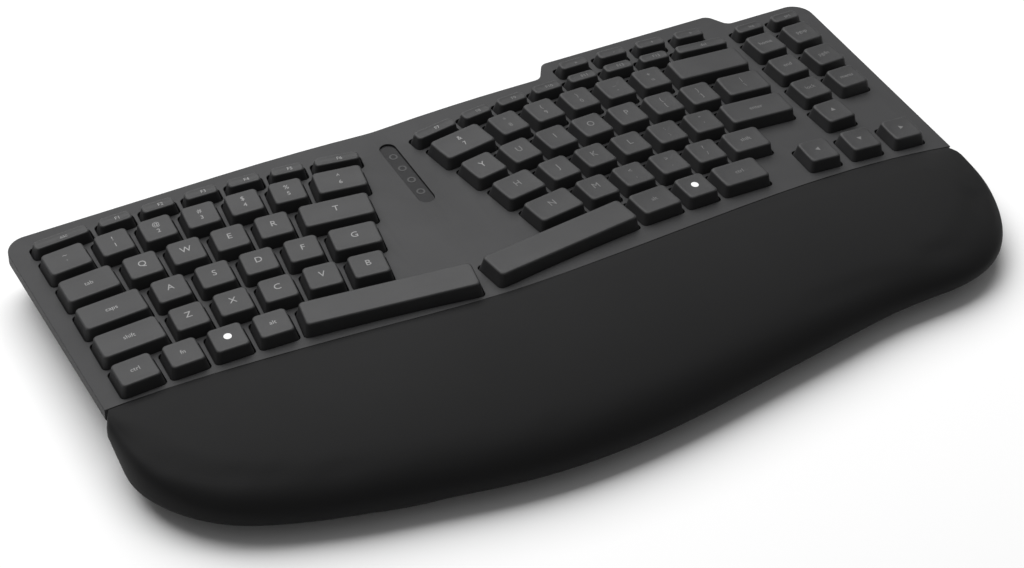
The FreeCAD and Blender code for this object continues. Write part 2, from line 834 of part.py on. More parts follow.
layer_plan = add_shape("LayerPlan", rounded(layer_points, [4, 20, 1, 1, 1, 1, 4, 4, 20, 4]))
layer_block = extrude("LayerBlock", layer_plan, "Sizes.deck_height + 20")
pass_radius = size_of("boss_radius") + size_of("pass_gap")
pass_holes = add_shape("PassHoles", Part.makeCompound([
    Part.makeCylinder(pass_radius, 2 * size_of("deck_height"), point) for point in guide_screws]))


def layer(name, top_depth, bottom_depth, pierced=True):
    slab = add_shape(name + "Slab", crown_slab(top_depth, bottom_depth))
    sheet_solid = common(name + "Layer", layer_block, slab)
    return cut(name + "Pierced", sheet_solid, pass_holes) if pierced else sheet_solid


def stem_prism(key, grow, low, high):
    """Upright prism round a key's stem, between two depths."""
    width = size_of("stem_width") + 2 * grow
    depth = size_of("stem_depth") + 2 * grow
    prism = Part.makeBox(width, depth, low - high, Vector(-width / 2, -depth / 2, -low))
    return placed(prism, key)


chimney_top = size_of("deck_plate") + size_of("chimney_gap")
chimney_grow = size_of("stem_gap") + size_of("chimney_wall")
chimney_root = guide_top + size_of("guide_plate") / 3
chimneys = add_shape("Chimneys", Part.makeCompound(
    [stem_prism(key, chimney_grow, chimney_root, chimney_top) for key in ALL_KEYS]))
stem_holes = add_shape("StemHoles", Part.makeCompound(
    [stem_prism(key, size_of("stem_gap"), guide_bottom + 1, chimney_top - 1) for key in ALL_KEYS]))


def guide_boss(point):
    """Screw boss from the parting line up into the guide plate."""
    top = deck_drop(abs(point.x - middle_x)) - (guide_top + guide_bottom) / 2
    post = Part.makeCylinder(size_of("boss_radius"), top - boss_low, Vector(point.x, point.y, boss_low))
    hole = Part.makeCylinder(bore, screw_top + size_of("screw_room") - boss_low, Vector(point.x, point.y, boss_low))
    return post.cut(hole)


guide_bosses = add_shape("GuideBosses", Part.makeCompound([guide_boss(point) for point in guide_screws]))
guide_solid = fuse("GuideSolid", [layer("Guide", guide_top, guide_bottom, False), chimneys, guide_bosses])
keep(cut("KeyGuidePlate", guide_solid, stem_holes), "key_guide_plate")

domes = []
dome_root = size_of("dome_sheet") / 3
for key in ALL_KEYS:
    dome = Part.makeCone(size_of("dome_foot") / 2, size_of("dome_top") / 2, size_of("dome_rise") + dome_root,
                         Vector(0, 0, -dome_root))
    domes.append(placed(dome, key, sheet_top))
dome_group = add_shape("Domes", Part.makeCompound(domes))
keep(fuse("RubberDomeSheet", [layer("Dome", sheet_top, sheet_bottom), dome_group]), "rubber_dome_sheet")
keep(layer("Membrane", sheet_bottom, membrane_bottom), "membrane_circuit")
keep(layer("Backing", membrane_bottom, backing_bottom), "backing_plate")

# Bottom case: shallow tray with screw wells, leg boxes and posts that carry the backing plate and the board
floor_low = size_of("foot_height")
floor_top = floor_low + size_of("floor_plate")
case_outside = add_shape("CaseOutside", body_block(0.0, floor_low, size_of("rim_top")))
case_hollow = add_shape("CaseHollow", body_block(size_of("side_wall"), floor_top, cover_low))
case_tray = cut("CaseTray", case_outside, case_hollow)

screw_points = guide_screws + front_screws
well_top = size_of("rim_top") - size_of("well_gap")
wells = [Part.makeCylinder(size_of("well_radius"), well_top - floor_low, Vector(p.x, p.y, floor_low))
         for p in screw_points]


def carrying_post(distance, y, side):
    """Post from the floor to just under the backing plate."""
    x = middle_x + side * distance
    top = deck_drop(distance + size_of("post_radius")) - backing_bottom / math.cos(tent) - size_of("post_gap")
    return Part.makeCylinder(size_of("post_radius"), top - floor_low, Vector(x, y, floor_low))


posts = []
for side in (LEFT, RIGHT):
    for distance in ("post_near", "post_between", "post_far"):
        for y in (apex_y + size_of("post_rear"), apex_y - size_of("post_front")):
            posts.append(carrying_post(size_of(distance), y, side))

board_centre = Vector(
    middle_x, rear_wall_y(middle_x) - size_of("side_wall") - size_of("board_rear_gap") - size_of("board_depth") / 2,
    size_of("board_height"))
board_post_x = size_of("board_width") / 2 - size_of("board_post_inset")
board_post_y = size_of("board_depth") / 2 - size_of("board_post_inset")
for x in (-board_post_x, board_post_x):
    for y in (-board_post_y, board_post_y):
        at = board_centre + Vector(x, y, 0)
        posts.append(Part.makeCylinder(
            size_of("post_radius"), size_of("board_height") - floor_low, Vector(at.x, at.y, floor_low)))

# Fold-out legs lie in boxes along the rear edge; each turns on a pin at its outer end
leg_top = floor_low + size_of("leg_thick")
leg_z = floor_low + size_of("leg_thick") / 2
leg_long = size_of("leg_long")
leg_wide = size_of("leg_wide")
leg_gap = size_of("leg_gap")


def leg_frame(side):
    """Frame at a leg's pin: X from the pin towards the leg's tip, along the rear edge."""
    reach = size_of("leg_left") if side == LEFT else size_of("leg_right")
    pin = plan_line(side, reach, rear_line - size_of("leg_rear"))
    turn = size_of("splay_angle") if side == RIGHT else -size_of("splay_angle")
    base = Rotation(Vector(0, 0, 1), turn)
    if side == RIGHT:
        base = base.multiply(Rotation(Vector(0, 0, 1), 180))
    return Placement(Vector(pin.x, pin.y, leg_z), base)


def leg_solid(side):
    radius = size_of("leg_thick") / 2
    body = Part.makeBox(leg_long - radius, leg_wide, 2 * radius, Vector(0, -leg_wide / 2, -radius))
    heel = Part.makeCylinder(radius, leg_wide, Vector(0, -leg_wide / 2, 0), Vector(0, 1, 0))
    solid = body.fuse(heel)
    solid = solid.removeSplitter()
    tip_edges = [edge for edge in solid.Edges
                 if abs(edge.CenterOfMass.x - (leg_long - radius)) < 0.01 and abs(edge.CenterOfMass.y) < 0.01]
    solid = solid.makeFillet(size_of("leg_tip"), tip_edges)
    bore_radius = size_of("leg_pin") + size_of("pin_gap")
    bore_hole = Part.makeCylinder(bore_radius, 2 * leg_wide, Vector(0, -leg_wide, 0), Vector(0, 1, 0))
    solid = solid.cut(bore_hole)
    solid.Placement = leg_frame(side)
    return solid


def leg_box(side, grow, height, below=0.0):
    """Block round a leg that reaches a height above the leg's underside, and a distance below it."""
    radius = size_of("leg_thick") / 2
    length = leg_long + radius + 2 * grow
    width = leg_wide + 2 * grow
    block = Part.makeBox(length, width, height + below, Vector(-radius - grow, -width / 2, -radius - below))
    block.Placement = leg_frame(side)
    return block


def leg_pin(side):
    length = leg_wide + 2 * leg_gap + size_of("leg_box_wall")
    pin = Part.makeCylinder(size_of("leg_pin"), length, Vector(0, -length / 2, 0), Vector(0, 1, 0))
    pin.Placement = leg_frame(side)
    return pin


box_outer = size_of("leg_thick") + leg_gap + size_of("leg_box_wall")
outer_boxes = [leg_box(side, leg_gap + size_of("leg_box_wall"), box_outer) for side in (LEFT, RIGHT)]
inner_boxes = [leg_box(side, leg_gap, size_of("leg_thick") + leg_gap, leg_gap) for side in (LEFT, RIGHT)]
pins = [leg_pin(side) for side in (LEFT, RIGHT)]
case_extra = add_shape("CaseExtra", Part.makeCompound(wells + posts + outer_boxes))
case_full = fuse("CaseFull", [case_tray, case_extra])
head_room = size_of("screw_head") + size_of("head_gap")
head_tall = size_of("screw_head_tall") + size_of("head_sunk")
shank_room = size_of("screw_radius") + size_of("shank_gap")
screw_cuts = []
for p in screw_points:
    below = Vector(p.x, p.y, 0)
    screw_cuts.append(Part.makeCylinder(shank_room, size_of("deck_height"), below))
    screw_cuts.append(Part.makeCylinder(head_room, floor_low + head_tall, below))
case_cuts = add_shape("CaseCuts", Part.makeCompound(screw_cuts + inner_boxes))
case_cut = cut("CaseCut", case_full, case_cuts)
pin_group = add_shape("LegPins", Part.makeCompound(pins))
keep(fuse("BottomCase", [case_cut, pin_group]), "bottom_case")

for side, name in ((LEFT, "tilt_leg_left"), (RIGHT, "tilt_leg_right")):
    keep(add_shape(name, leg_solid(side)), name)

# Screws, in from below
screws = []
slot_long = size_of("slot_long")
slot_wide = size_of("slot_wide")
for p in screw_points:
    head_low = floor_low + size_of("head_sunk")
    tip = screw_top if p in guide_screws else palm_screw_top
    head = Part.makeCylinder(size_of("screw_head"), size_of("screw_head_tall"), Vector(p.x, p.y, head_low))
    shank = Part.makeCylinder(size_of("screw_radius"), tip - head_low, Vector(p.x, p.y, head_low))
    driver = Part.makeBox(slot_long, slot_wide, slot_wide, Vector(p.x - slot_long / 2, p.y - slot_wide / 2, head_low))
    cross = Part.makeBox(slot_wide, slot_long, slot_wide, Vector(p.x - slot_wide / 2, p.y - slot_long / 2, head_low))
    screws.append(head.fuse(shank).cut(driver).cut(cross).removeSplitter())
keep(add_shape("CaseScrews", Part.makeCompound(screws)), "case_screws")

# Palm rest: a rigid carrier plate with a padded cushion on it
palm_outline = add_shape("PalmOutline", whole_outline.makeOffset2D(-size_of("carrier_inset")))
palm_block = extrude("PalmBlock", palm_outline, "Sizes.carrier_plate")
palm_plan = cut("PalmPlan", palm_block, behind_seam(-size_of("side_wall"), "PalmRegion"))
doc.recompute()
carrier_shape = palm_plan.Shape.copy()
carrier_shape.translate(Vector(0, 0, boss_low))
for p in front_screws:
    thread = Part.makeCylinder(bore, 2 * size_of("carrier_plate"), Vector(p.x, p.y, boss_low))
    carrier_shape = carrier_shape.cut(thread)
keep(add_shape("PalmRestCarrier", carrier_shape.removeSplitter()), "palm_rest_carrier")

cushion_low = boss_low + size_of("carrier_plate") + size_of("part_gap")
seam_edge = seam_curve(-size_of("cushion_gap")).toShape()
front_edge = whole_outline.OuterWire


def crossing(edge, x):
    """Y where a plan curve crosses a given X, nearest the front."""
    line = Part.LineSegment(Vector(x, -reach_x, 0), Vector(x, reach_x, 0)).toShape()
    distance, pairs, info = edge.distToShape(line)
    return min(pair[0].y for pair in pairs)


def cushion_section(x, fullness):
    """Section across the cushion: flat underside, upright rear face, crowned top and a rolled nose."""
    seam_y = crossing(seam_edge, x)
    front_y = crossing(front_edge, x)
    depth = seam_y - front_y
    end_share = size_of("cushion_end_height")
    rear_top = deck_drop(abs(x - middle_x))
    rear_top = cushion_low + (rear_top - cushion_low) * (end_share + (1 - end_share) * fullness)
    shoulder = cushion_low + (rear_top - cushion_low) * 0.55 + 2.0 * (1 - fullness)
    shoulder = min(shoulder, cushion_low + size_of("nose_height"))
    nose = (shoulder + cushion_low) / 2
    roll = min(size_of("nose_roll"), 0.3 * depth, 0.45 * (shoulder - cushion_low))
    low_rear = Vector(x, seam_y, cushion_low)
    high_rear = Vector(x, seam_y, rear_top)
    high_front = Vector(x, front_y + roll, shoulder)
    chord_middle = (high_rear + high_front) / 2
    high_mid = chord_middle + Vector(0, 0, size_of("cushion_crown") * depth / size_of("palm_depth"))
    nose_point = Vector(x, front_y + size_of("nose_inset"), nose)
    low_front = Vector(x, front_y + roll, cushion_low)
    return Part.Wire([
        Part.LineSegment(low_rear, high_rear).toShape(),
        Part.Arc(high_rear, high_mid, high_front).toShape(),
        Part.Arc(high_front, nose_point, low_front).toShape(),
        Part.LineSegment(low_front, low_rear).toShape(),
    ])


left_end = middle_x - size_of("left_reach")
right_end = middle_x + size_of("right_reach")
stations = [(left_end + share * (right_end - left_end), 1.0) for share in (0.16, 0.28, 0.40, 0.52, 0.64, 0.76, 0.86)]
for inset, fullness in (("cushion_full", 1.0), ("cushion_turn", 0.6), ("cushion_end", 0.0)):
    stations.insert(0, (left_end + size_of(inset), fullness))
    stations.append((right_end - size_of(inset), fullness))
cushion = Part.makeLoft([cushion_section(x, fullness) for x, fullness in stations], True, False)
keep(add_shape("PalmRestCushion", cushion), "palm_rest_cushion")

# Circuit board behind the middle panel, the flat cell in front of it and the ribbon up to the membrane
board = box("CircuitBoard", "Sizes.board_width", "Sizes.board_depth", "Sizes.board_plate", board_centre)
keep(board, "circuit_board")
cell_centre = Vector(middle_x, board_centre.y - size_of("board_depth") / 2 - size_of("cell_gap")
                     - size_of("cell_depth") / 2, floor_top + size_of("post_gap"))
keep(box("BatteryCell", "Sizes.cell_width", "Sizes.cell_depth", "Sizes.cell_thick", cell_centre), "battery_cell")

socket_y = rear_wall_y(socket_x) - size_of("socket_depth") / 2 - size_of("socket_sunk")
keep(box("ChargingSocket", "Sizes.socket_width", "Sizes.socket_depth", "Sizes.socket_tall",
         Vector(socket_x, socket_y, solder_top)), "charging_socket")

switch_depth = size_of("side_wall") + size_of("switch_proud") + size_of("switch_inside")
switch_y = rear_wall_y(switch_x) + size_of("switch_proud") - switch_depth / 2
knob = box("SwitchKnob", "Sizes.switch_width", "Sizes.side_wall + Sizes.switch_proud + Sizes.switch_inside",
           "Sizes.switch_tall", Vector(switch_x - size_of("switch_travel") / 2, switch_y, solder_top))
keep(knob, "power_switch")

thick = size_of("ribbon_thick")
ribbon_top = deck_drop(size_of("ribbon_width") / 2) - backing_bottom - size_of("part_gap")
ribbon_low = board_top + size_of("thread_gap")
ribbon_root = board_centre.y - size_of("board_depth") / 2 + size_of("ribbon_rear")
ribbon_tail = ribbon_root + size_of("ribbon_lap")
ribbon_turn = ribbon_root - size_of("ribbon_bend")
ribbon_points = [
    Vector(0, ribbon_tail, ribbon_low),
    Vector(0, ribbon_turn, ribbon_low),
    Vector(0, ribbon_turn, ribbon_top),
    Vector(0, ribbon_root, ribbon_top),
    Vector(0, ribbon_root, ribbon_top - thick),
    Vector(0, ribbon_turn + thick, ribbon_top - thick),
    Vector(0, ribbon_turn + thick, ribbon_low + thick),
    Vector(0, ribbon_tail, ribbon_low + thick),
]
ribbon_face = Part.Face(Part.makePolygon(ribbon_points + [ribbon_points[0]]))
ribbon = ribbon_face.extrude(Vector(size_of("ribbon_width"), 0, 0))
ribbon.translate(Vector(middle_x - size_of("ribbon_width") / 2, 0, 0))
keep(add_shape("RibbonCable", ribbon), "ribbon_cable")

# Rubber feet under the case
feet = []
foot_places = [
    (middle_x - 120.0, -58.0), (middle_x + 20.0, -88.0), (middle_x + 190.0, -58.0),
    (middle_x - 140.0, apex_y + 14.0), (middle_x + 20.0, apex_y + 8.0), (middle_x + 205.0, apex_y + 18.0),
]
for x, y in foot_places:
    straight = size_of("foot_long") - size_of("foot_wide")
    pad = Part.makeBox(straight, size_of("foot_wide"), size_of("foot_height"),
                       Vector(x - straight / 2, y - size_of("foot_wide") / 2, 0))
    for end in (-1, 1):
        pad = pad.fuse(Part.makeCylinder(size_of("foot_wide") / 2, size_of("foot_height"),
                                         Vector(x + end * straight / 2, y, 0)))
    feet.append(pad.removeSplitter())
keep(add_shape("RubberFeet", Part.makeCompound(feet)), "rubber_feet")

doc.recompute()

problems = []
for item in doc.Objects:
    if "Invalid" in item.State or "Error" in item.State:
        problems.append(item.Name + " failed")
for item in SUB_PARTS:
    if item.Shape.isNull() or not item.Shape.isValid() or not item.Shape.Solids:
        problems.append(item.Label + " has no valid solid")
if problems:
    raise RuntimeError("; ".join(problems))

os.makedirs("parts", exist_ok=True)
for item in SUB_PARTS:
    item.Shape.exportStep("parts/%s.step" % item.Label)
whole = Part.makeCompound([item.Shape for item in SUB_PARTS]).BoundBox
print("sub-parts", len(SUB_PARTS), "keys", len(ALL_KEYS))
print("box", whole.XMin, whole.XMax, whole.YMin, whole.YMax, whole.ZMin, whole.ZMax)
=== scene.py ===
import json
import math

import bmesh
import bpy
from mathutils import Matrix, Vector


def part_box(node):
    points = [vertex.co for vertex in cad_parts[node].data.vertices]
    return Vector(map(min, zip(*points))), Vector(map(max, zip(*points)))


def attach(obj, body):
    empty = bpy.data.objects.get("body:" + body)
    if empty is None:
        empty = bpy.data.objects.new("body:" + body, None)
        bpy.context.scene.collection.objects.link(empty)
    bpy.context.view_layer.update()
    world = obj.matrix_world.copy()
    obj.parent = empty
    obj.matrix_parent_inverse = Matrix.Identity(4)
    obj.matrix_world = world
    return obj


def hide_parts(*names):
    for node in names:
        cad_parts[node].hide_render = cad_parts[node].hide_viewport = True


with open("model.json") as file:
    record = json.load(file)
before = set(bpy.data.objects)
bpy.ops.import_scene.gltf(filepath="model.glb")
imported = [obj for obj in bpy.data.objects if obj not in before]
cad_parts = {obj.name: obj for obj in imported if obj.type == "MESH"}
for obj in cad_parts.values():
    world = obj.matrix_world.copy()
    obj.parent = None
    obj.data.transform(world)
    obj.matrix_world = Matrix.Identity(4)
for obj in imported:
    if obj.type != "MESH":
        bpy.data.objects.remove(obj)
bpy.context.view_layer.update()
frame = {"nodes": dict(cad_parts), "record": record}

nodes = frame["nodes"]
body_of_node = {}
for body, members in frame["record"]["behaviour"]["bodies"].items():
    for member in members:
        body_of_node[member] = body


# Bottom case
# A shallow tray moulded in black ABS with a fine spark-eroded grain. It carries everything else and is
# screwed to the key guide plate and to the palm rest from below.
def new_finish(name):
    """A new material, its node tree, its surface shader and the place on the piece that textures read."""
    material = bpy.data.materials.new(name)
    material.use_nodes = True
    tree = material.node_tree
    place = tree.nodes.new("ShaderNodeTexCoord")
    return material, tree, tree.nodes["Principled BSDF"], place.outputs["Object"]


def add_node(tree, kind, values):
    """A shader node with some of its inputs set."""
    node = tree.nodes.new("ShaderNode" + kind)
    for socket, value in values.items():
        node.inputs[socket].default_value = value
    return node


def tone_ramp(tree, colour, dark, pale):
    """Ramp from a darker to a paler tone of one colour, each given as (place on the ramp, share)."""
    ramp = tree.nodes.new("ShaderNodeValToRGB")
    for stop, (position, share) in zip(ramp.color_ramp.elements, (dark, pale)):
        stop.position = position
        stop.color = (*[share * c for c in colour], 1)
    return ramp


def moulded_plastic(name, colour, grain=0.25, shine=0.5, worn=0.25, specular=0.35):
    """Moulded plastic: mottled colour, spark-eroded grain, and paler rubbed edges."""
    material, tree, shader, place = new_finish(name)
    shader.inputs["Specular IOR Level"].default_value = specular
    mottle = add_node(tree, "TexNoise", {"Scale": 45.0, "Detail": 4.0})
    tones = tone_ramp(tree, colour, dark=(0.35, 0.90), pale=(0.68, 1.09))
    edges = tree.nodes.new("ShaderNodeNewGeometry")
    rubbed = add_node(tree, "MapRange", {"From Min": 0.52, "From Max": 0.62, "To Max": worn})
    wear = tree.nodes.new("ShaderNodeMix")
    wear.data_type = "RGBA"
    wear.inputs["B"].default_value = (*[min(1.0, 1.7 * c + 0.01) for c in colour], 1)
    fine = add_node(tree, "TexNoise", {"Scale": 1000.0 / grain, "Detail": 2.0})
    sheen = add_node(tree, "MapRange", {
        "From Min": 0.3, "From Max": 0.7, "To Min": shine - 0.06, "To Max": shine + 0.06,
    })
    bump = add_node(tree, "Bump", {"Strength": 0.35, "Distance": 0.00006})

    link = tree.links.new
    link(place, mottle.inputs["Vector"])
    link(place, fine.inputs["Vector"])
    link(mottle.outputs["Fac"], tones.inputs["Fac"])
    link(tones.outputs["Color"], wear.inputs["A"])
    link(edges.outputs["Pointiness"], rubbed.inputs["Value"])
    link(rubbed.outputs["Result"], wear.inputs["Factor"])
    link(wear.outputs["Result"], shader.inputs["Base Color"])
    link(fine.outputs["Fac"], sheen.inputs["Value"])
    link(sheen.outputs["Result"], shader.inputs["Roughness"])
    link(fine.outputs["Fac"], bump.inputs["Height"])
    link(bump.outputs["Normal"], shader.inputs["Normal"])
    return material


def finish_node(node, material):
    """Gives a piece that keeps its solid one finish all over."""
    shape = nodes[node]
    shape.data.materials.clear()
    shape.data.materials.append(material)


case_black = moulded_plastic("case_black", (0.010, 0.010, 0.0105), grain=0.35, shine=0.55)
finish_node("bottom_case", case_black)

# Rubber feet
# Six long pads of soft black rubber, die-cut and glued into the underside; the keyboard stands on them.
foot_black = moulded_plastic("foot_black", (0.012, 0.012, 0.012), grain=0.6, shine=0.8, worn=0.0,
                             specular=0.2)
finish_node("rubber_feet", foot_black)

# Tilt legs
# Two small folding legs in the rear of the case, of the same black plastic, each turning on a moulded pin.
leg_black = moulded_plastic("leg_black", (0.022, 0.022, 0.023), grain=0.3, shine=0.5)
for leg in ("tilt_leg_left", "tilt_leg_right"):
    finish_node(leg, leg_black)


# Circuit board
# Glass-fibre board with green solder mask behind the middle panel; it carries the charging inlet and the
# power switch and stands on posts of the bottom case.
def metal(name, colour, brushed=900.0, shine=0.35):
    """Bare or plated metal with fine drawing marks."""
    material, tree, shader, place = new_finish(name)
    shader.inputs["Metallic"].default_value = 1.0
    stretch = add_node(tree, "Mapping", {"Scale": (0.04, 1.0, 1.0)})
    marks = add_node(tree, "TexNoise", {"Scale": brushed})
    tones = tone_ramp(tree, colour, dark=(0.0, 0.8), pale=(1.0, 1.0))
    gloss = add_node(tree, "MapRange", {"To Min": shine - 0.1, "To Max": shine + 0.15})
    bump = add_node(tree, "Bump", {"Strength": 0.2, "Distance": 0.00003})
    link = tree.links.new
    link(place, stretch.inputs["Vector"])
    link(stretch.outputs["Vector"], marks.inputs["Vector"])
    link(marks.outputs["Fac"], tones.inputs["Fac"])
    link(tones.outputs["Color"], shader.inputs["Base Color"])
    link(marks.outputs["Fac"], gloss.inputs["Value"])
    link(gloss.outputs["Result"], shader.inputs["Roughness"])
    link(marks.outputs["Fac"], bump.inputs["Height"])
    link(bump.outputs["Normal"], shader.inputs["Normal"])
    return material


board_green = moulded_plastic("board_green", (0.012, 0.09, 0.03), grain=0.8, shine=0.35, worn=0.0)
finish_node("circuit_board", board_green)

# Charging inlet and power switch
# The inlet is a drawn steel shell soldered to the board; the switch is a small black slider that moves
# sideways in a slot of the rear wall.
inlet_steel = metal("inlet_steel", (0.55, 0.55, 0.57))
finish_node("charging_socket", inlet_steel)
switch_black = moulded_plastic("switch_black", (0.03, 0.03, 0.032), grain=0.2, shine=0.4)
finish_node("power_switch", switch_black)

# Battery cell
# Flat lithium cell in a silver foil pouch, taped to the floor of the case in front of the board.
pouch_silver = metal("pouch_silver", (0.6, 0.6, 0.62), brushed=300.0, shine=0.45)
finish_node("battery_cell", pouch_silver)

# Layers under the keys
# From below: a plated steel sheet, the printed membrane of clear polyester with its ribbon to the board,
# one sheet of silicone domes, and the black plate whose chimneys guide the key stems.
sheet_steel = metal("sheet_steel", (0.5, 0.51, 0.52), brushed=500.0, shine=0.4)
finish_node("backing_plate", sheet_steel)
film = moulded_plastic("film", (0.55, 0.57, 0.54), grain=1.2, shine=0.25, worn=0.0, specular=0.5)
finish_node("membrane_circuit", film)
finish_node("ribbon_cable", film)
silicone = moulded_plastic("silicone", (0.42, 0.43, 0.42), grain=0.5, shine=0.6, worn=0.1)
finish_node("rubber_dome_sheet", silicone)
guide_black = moulded_plastic("guide_black", (0.008, 0.008, 0.008), grain=0.3, shine=0.6, worn=0.05)
finish_node("key_guide_plate", guide_black)

# Screws
# Seven black-oxide steel screws with cross slots, driven up from below: four into the guide plate, three
# into the palm rest.
screw_black = metal("screw_black", (0.09, 0.09, 0.095), brushed=1500.0, shine=0.4)
finish_node("case_screws", screw_black)

# Top cover
# One graphite moulding with a fine matt grain: the crowned deck with an opening round every key, and side
# walls down to the parting line. Its outer edge has a small radius that catches the light.
DECK_EDGE_RADIUS = 0.0006
deck_graphite = moulded_plastic("deck_graphite", (0.029, 0.029, 0.030), grain=0.22, shine=0.58, worn=0.35,
                                specular=0.21)
deck_tree = deck_graphite.node_tree
soft_edge = add_node(deck_tree, "Bevel", {"Radius": DECK_EDGE_RADIUS})
soft_edge.samples = 6
deck_tree.links.new(soft_edge.outputs["Normal"], deck_tree.nodes["Bump"].inputs["Normal"])
finish_node("top_cover", deck_graphite)

# Indicator window
# A smoked strip let into the middle panel, slightly below it, with a row of four ring-shaped lamp marks
# printed on its top in dark grey.
LAMP_COUNT = 4
LAMP_RADIUS = 0.0019
LAMP_HOLE = 0.62
LAMP_SPACING = 0.0088
LAMP_THICKNESS = 0.00006
LAMP_POINTS = 24


def object_of(mould, name):
    """Turns a finished bmesh into an object of the scene."""
    mesh = bpy.data.meshes.new(name)
    mould.to_mesh(mesh)
    mould.free()
    made = bpy.data.objects.new(name, mesh)
    bpy.context.scene.collection.objects.link(made)
    return made


smoked = moulded_plastic("smoked", (0.012, 0.012, 0.013), grain=0.15, shine=0.42, worn=0.0, specular=0.10)
finish_node("indicator_window", smoked)
window_low, window_high = [Vector(corner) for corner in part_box("indicator_window")]
window_middle = (window_low + window_high) / 2
lamps = bmesh.new()
for number in range(LAMP_COUNT):
    lamp_y = window_middle.y + (number - (LAMP_COUNT - 1) / 2) * LAMP_SPACING
    ring = []
    for step in range(LAMP_POINTS):
        angle = math.tau * step / LAMP_POINTS
        for radius, height in ((1.0, -1), (1.0, 1), (LAMP_HOLE, 1), (LAMP_HOLE, -1)):
            ring.append(lamps.verts.new((
                window_middle.x + LAMP_RADIUS * radius * math.cos(angle),
                lamp_y + LAMP_RADIUS * radius * math.sin(angle),
                window_high.z + LAMP_THICKNESS * (height + 0.5),
            )))
    for step in range(LAMP_POINTS):
        here, after = 4 * step, 4 * ((step + 1) % LAMP_POINTS)
        for a in range(4):
            b = (a + 1) % 4
            lamps.faces.new((ring[here + a], ring[here + b], ring[after + b], ring[after + a]))
bmesh.ops.recalc_face_normals(lamps, faces=lamps.faces)
lamp_rings = object_of(lamps, "window_lamps")
lamp_print = moulded_plastic("lamp_print", (0.050, 0.050, 0.051), grain=0.15, shine=0.5, worn=0.0,
                             specular=0.2)
lamp_rings.data.materials.append(lamp_print)
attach(lamp_rings, body_of_node["indicator_window"])


# Key caps
# Low caps moulded in dark grey ABS: tapered sides, rounded corners, a shallow scoop and one stem that
# stands in a chimney of the guide plate. Each run of plain keys is one piece.
CAP_RISE = 0.0054
CAP_SKIRT = 0.0016
CAP_TAPER = 0.00125
CAP_CORNER = 0.0019
CAP_SHOULDER = 0.0010
CAP_WALL = 0.0012
CAP_ROOF = 0.0014
CAP_EASE = 0.0002
CAP_DISH = 0.00055
SPACE_DISH = 0.0002
SCOOP_EASE = 0.45
TAPER_BELOW_SHOULDER = 0.92
SHOULDER_STEPS = 5
TOP_SHARES = (0.15, 0.35, 0.55, 0.75, 0.9)
STEM_WIDTH = 0.0040
STEM_DEPTH = 0.0026
STEM_LOW = 0.0069


def loose_parts(mesh):
    """One bmesh of a mesh, and the vertices of each of its separate solids."""
    whole = bmesh.new()
    whole.from_mesh(mesh)
    bmesh.ops.remove_doubles(whole, verts=whole.verts, dist=0.000002)
    whole.verts.ensure_lookup_table()
    seen = set()
    parts = []
    for start in whole.verts:
        if start.index in seen:
            continue
        island = []
        waiting = [start]
        seen.add(start.index)
        while waiting:
            vertex = waiting.pop()
            island.append(vertex)
            for edge in vertex.link_edges:
                other = edge.other_vert(vertex)
                if other.index not in seen:
                    seen.add(other.index)
                    waiting.append(other)
        parts.append(island)
    return whole, parts


def cap_frames(node):
    """Frame, width and depth of every cap of a CAD node, from left to right."""
    whole, parts = loose_parts(nodes[node].data)
    found = []
    for island in parts:
        faces = {face for vertex in island for face in vertex.link_faces}
        up = Vector((0, 0, 0))
        for face in faces:
            if abs(face.normal.z) > 0.9:
                up += face.normal * face.calc_area() * (1 if face.normal.z > 0 else -1)
        up.normalize()
        turn = 0j
        for edge in {edge for face in faces for edge in face.edges}:
            along = edge.verts[1].co - edge.verts[0].co
            if abs(along.dot(up)) < 0.2 * along.length:
                flat = math.atan2(along.y, along.x)
                turn += along.length ** 3 * complex(math.cos(4 * flat), math.sin(4 * flat))
        angle = math.atan2(turn.imag, turn.real) / 4
        along = Vector((math.cos(angle), math.sin(angle), 0))
        x_axis = (along - up * along.dot(up)).normalized()
        y_axis = up.cross(x_axis)
        spans = [[vertex.co.dot(axis) for vertex in island] for axis in (x_axis, y_axis, up)]
        middle = [(min(span) + max(span)) / 2 for span in spans[:2]]
        origin = x_axis * middle[0] + y_axis * middle[1] + up * (max(spans[2]) - CAP_RISE)
        place = Matrix((
            (x_axis.x, y_axis.x, up.x, origin.x),
            (x_axis.y, y_axis.y, up.y, origin.y),
            (x_axis.z, y_axis.z, up.z, origin.z),
            (0, 0, 0, 1),
        ))
        found.append((place, max(spans[0]) - min(spans[0]), max(spans[1]) - min(spans[1])))
    whole.free()
    return sorted(found, key=lambda cap: cap[0].translation.x)


def scoop(x, y, half_width, half_depth, depth):
    """How far a cap's top lies below its rim: a trough across the key that eases off at its ends."""
    across = max(0.0, 1 - (y / half_depth) ** 2)
    along = 1 - SCOOP_EASE * min(1.0, abs(x) / half_width) ** 4
    return depth * across * along


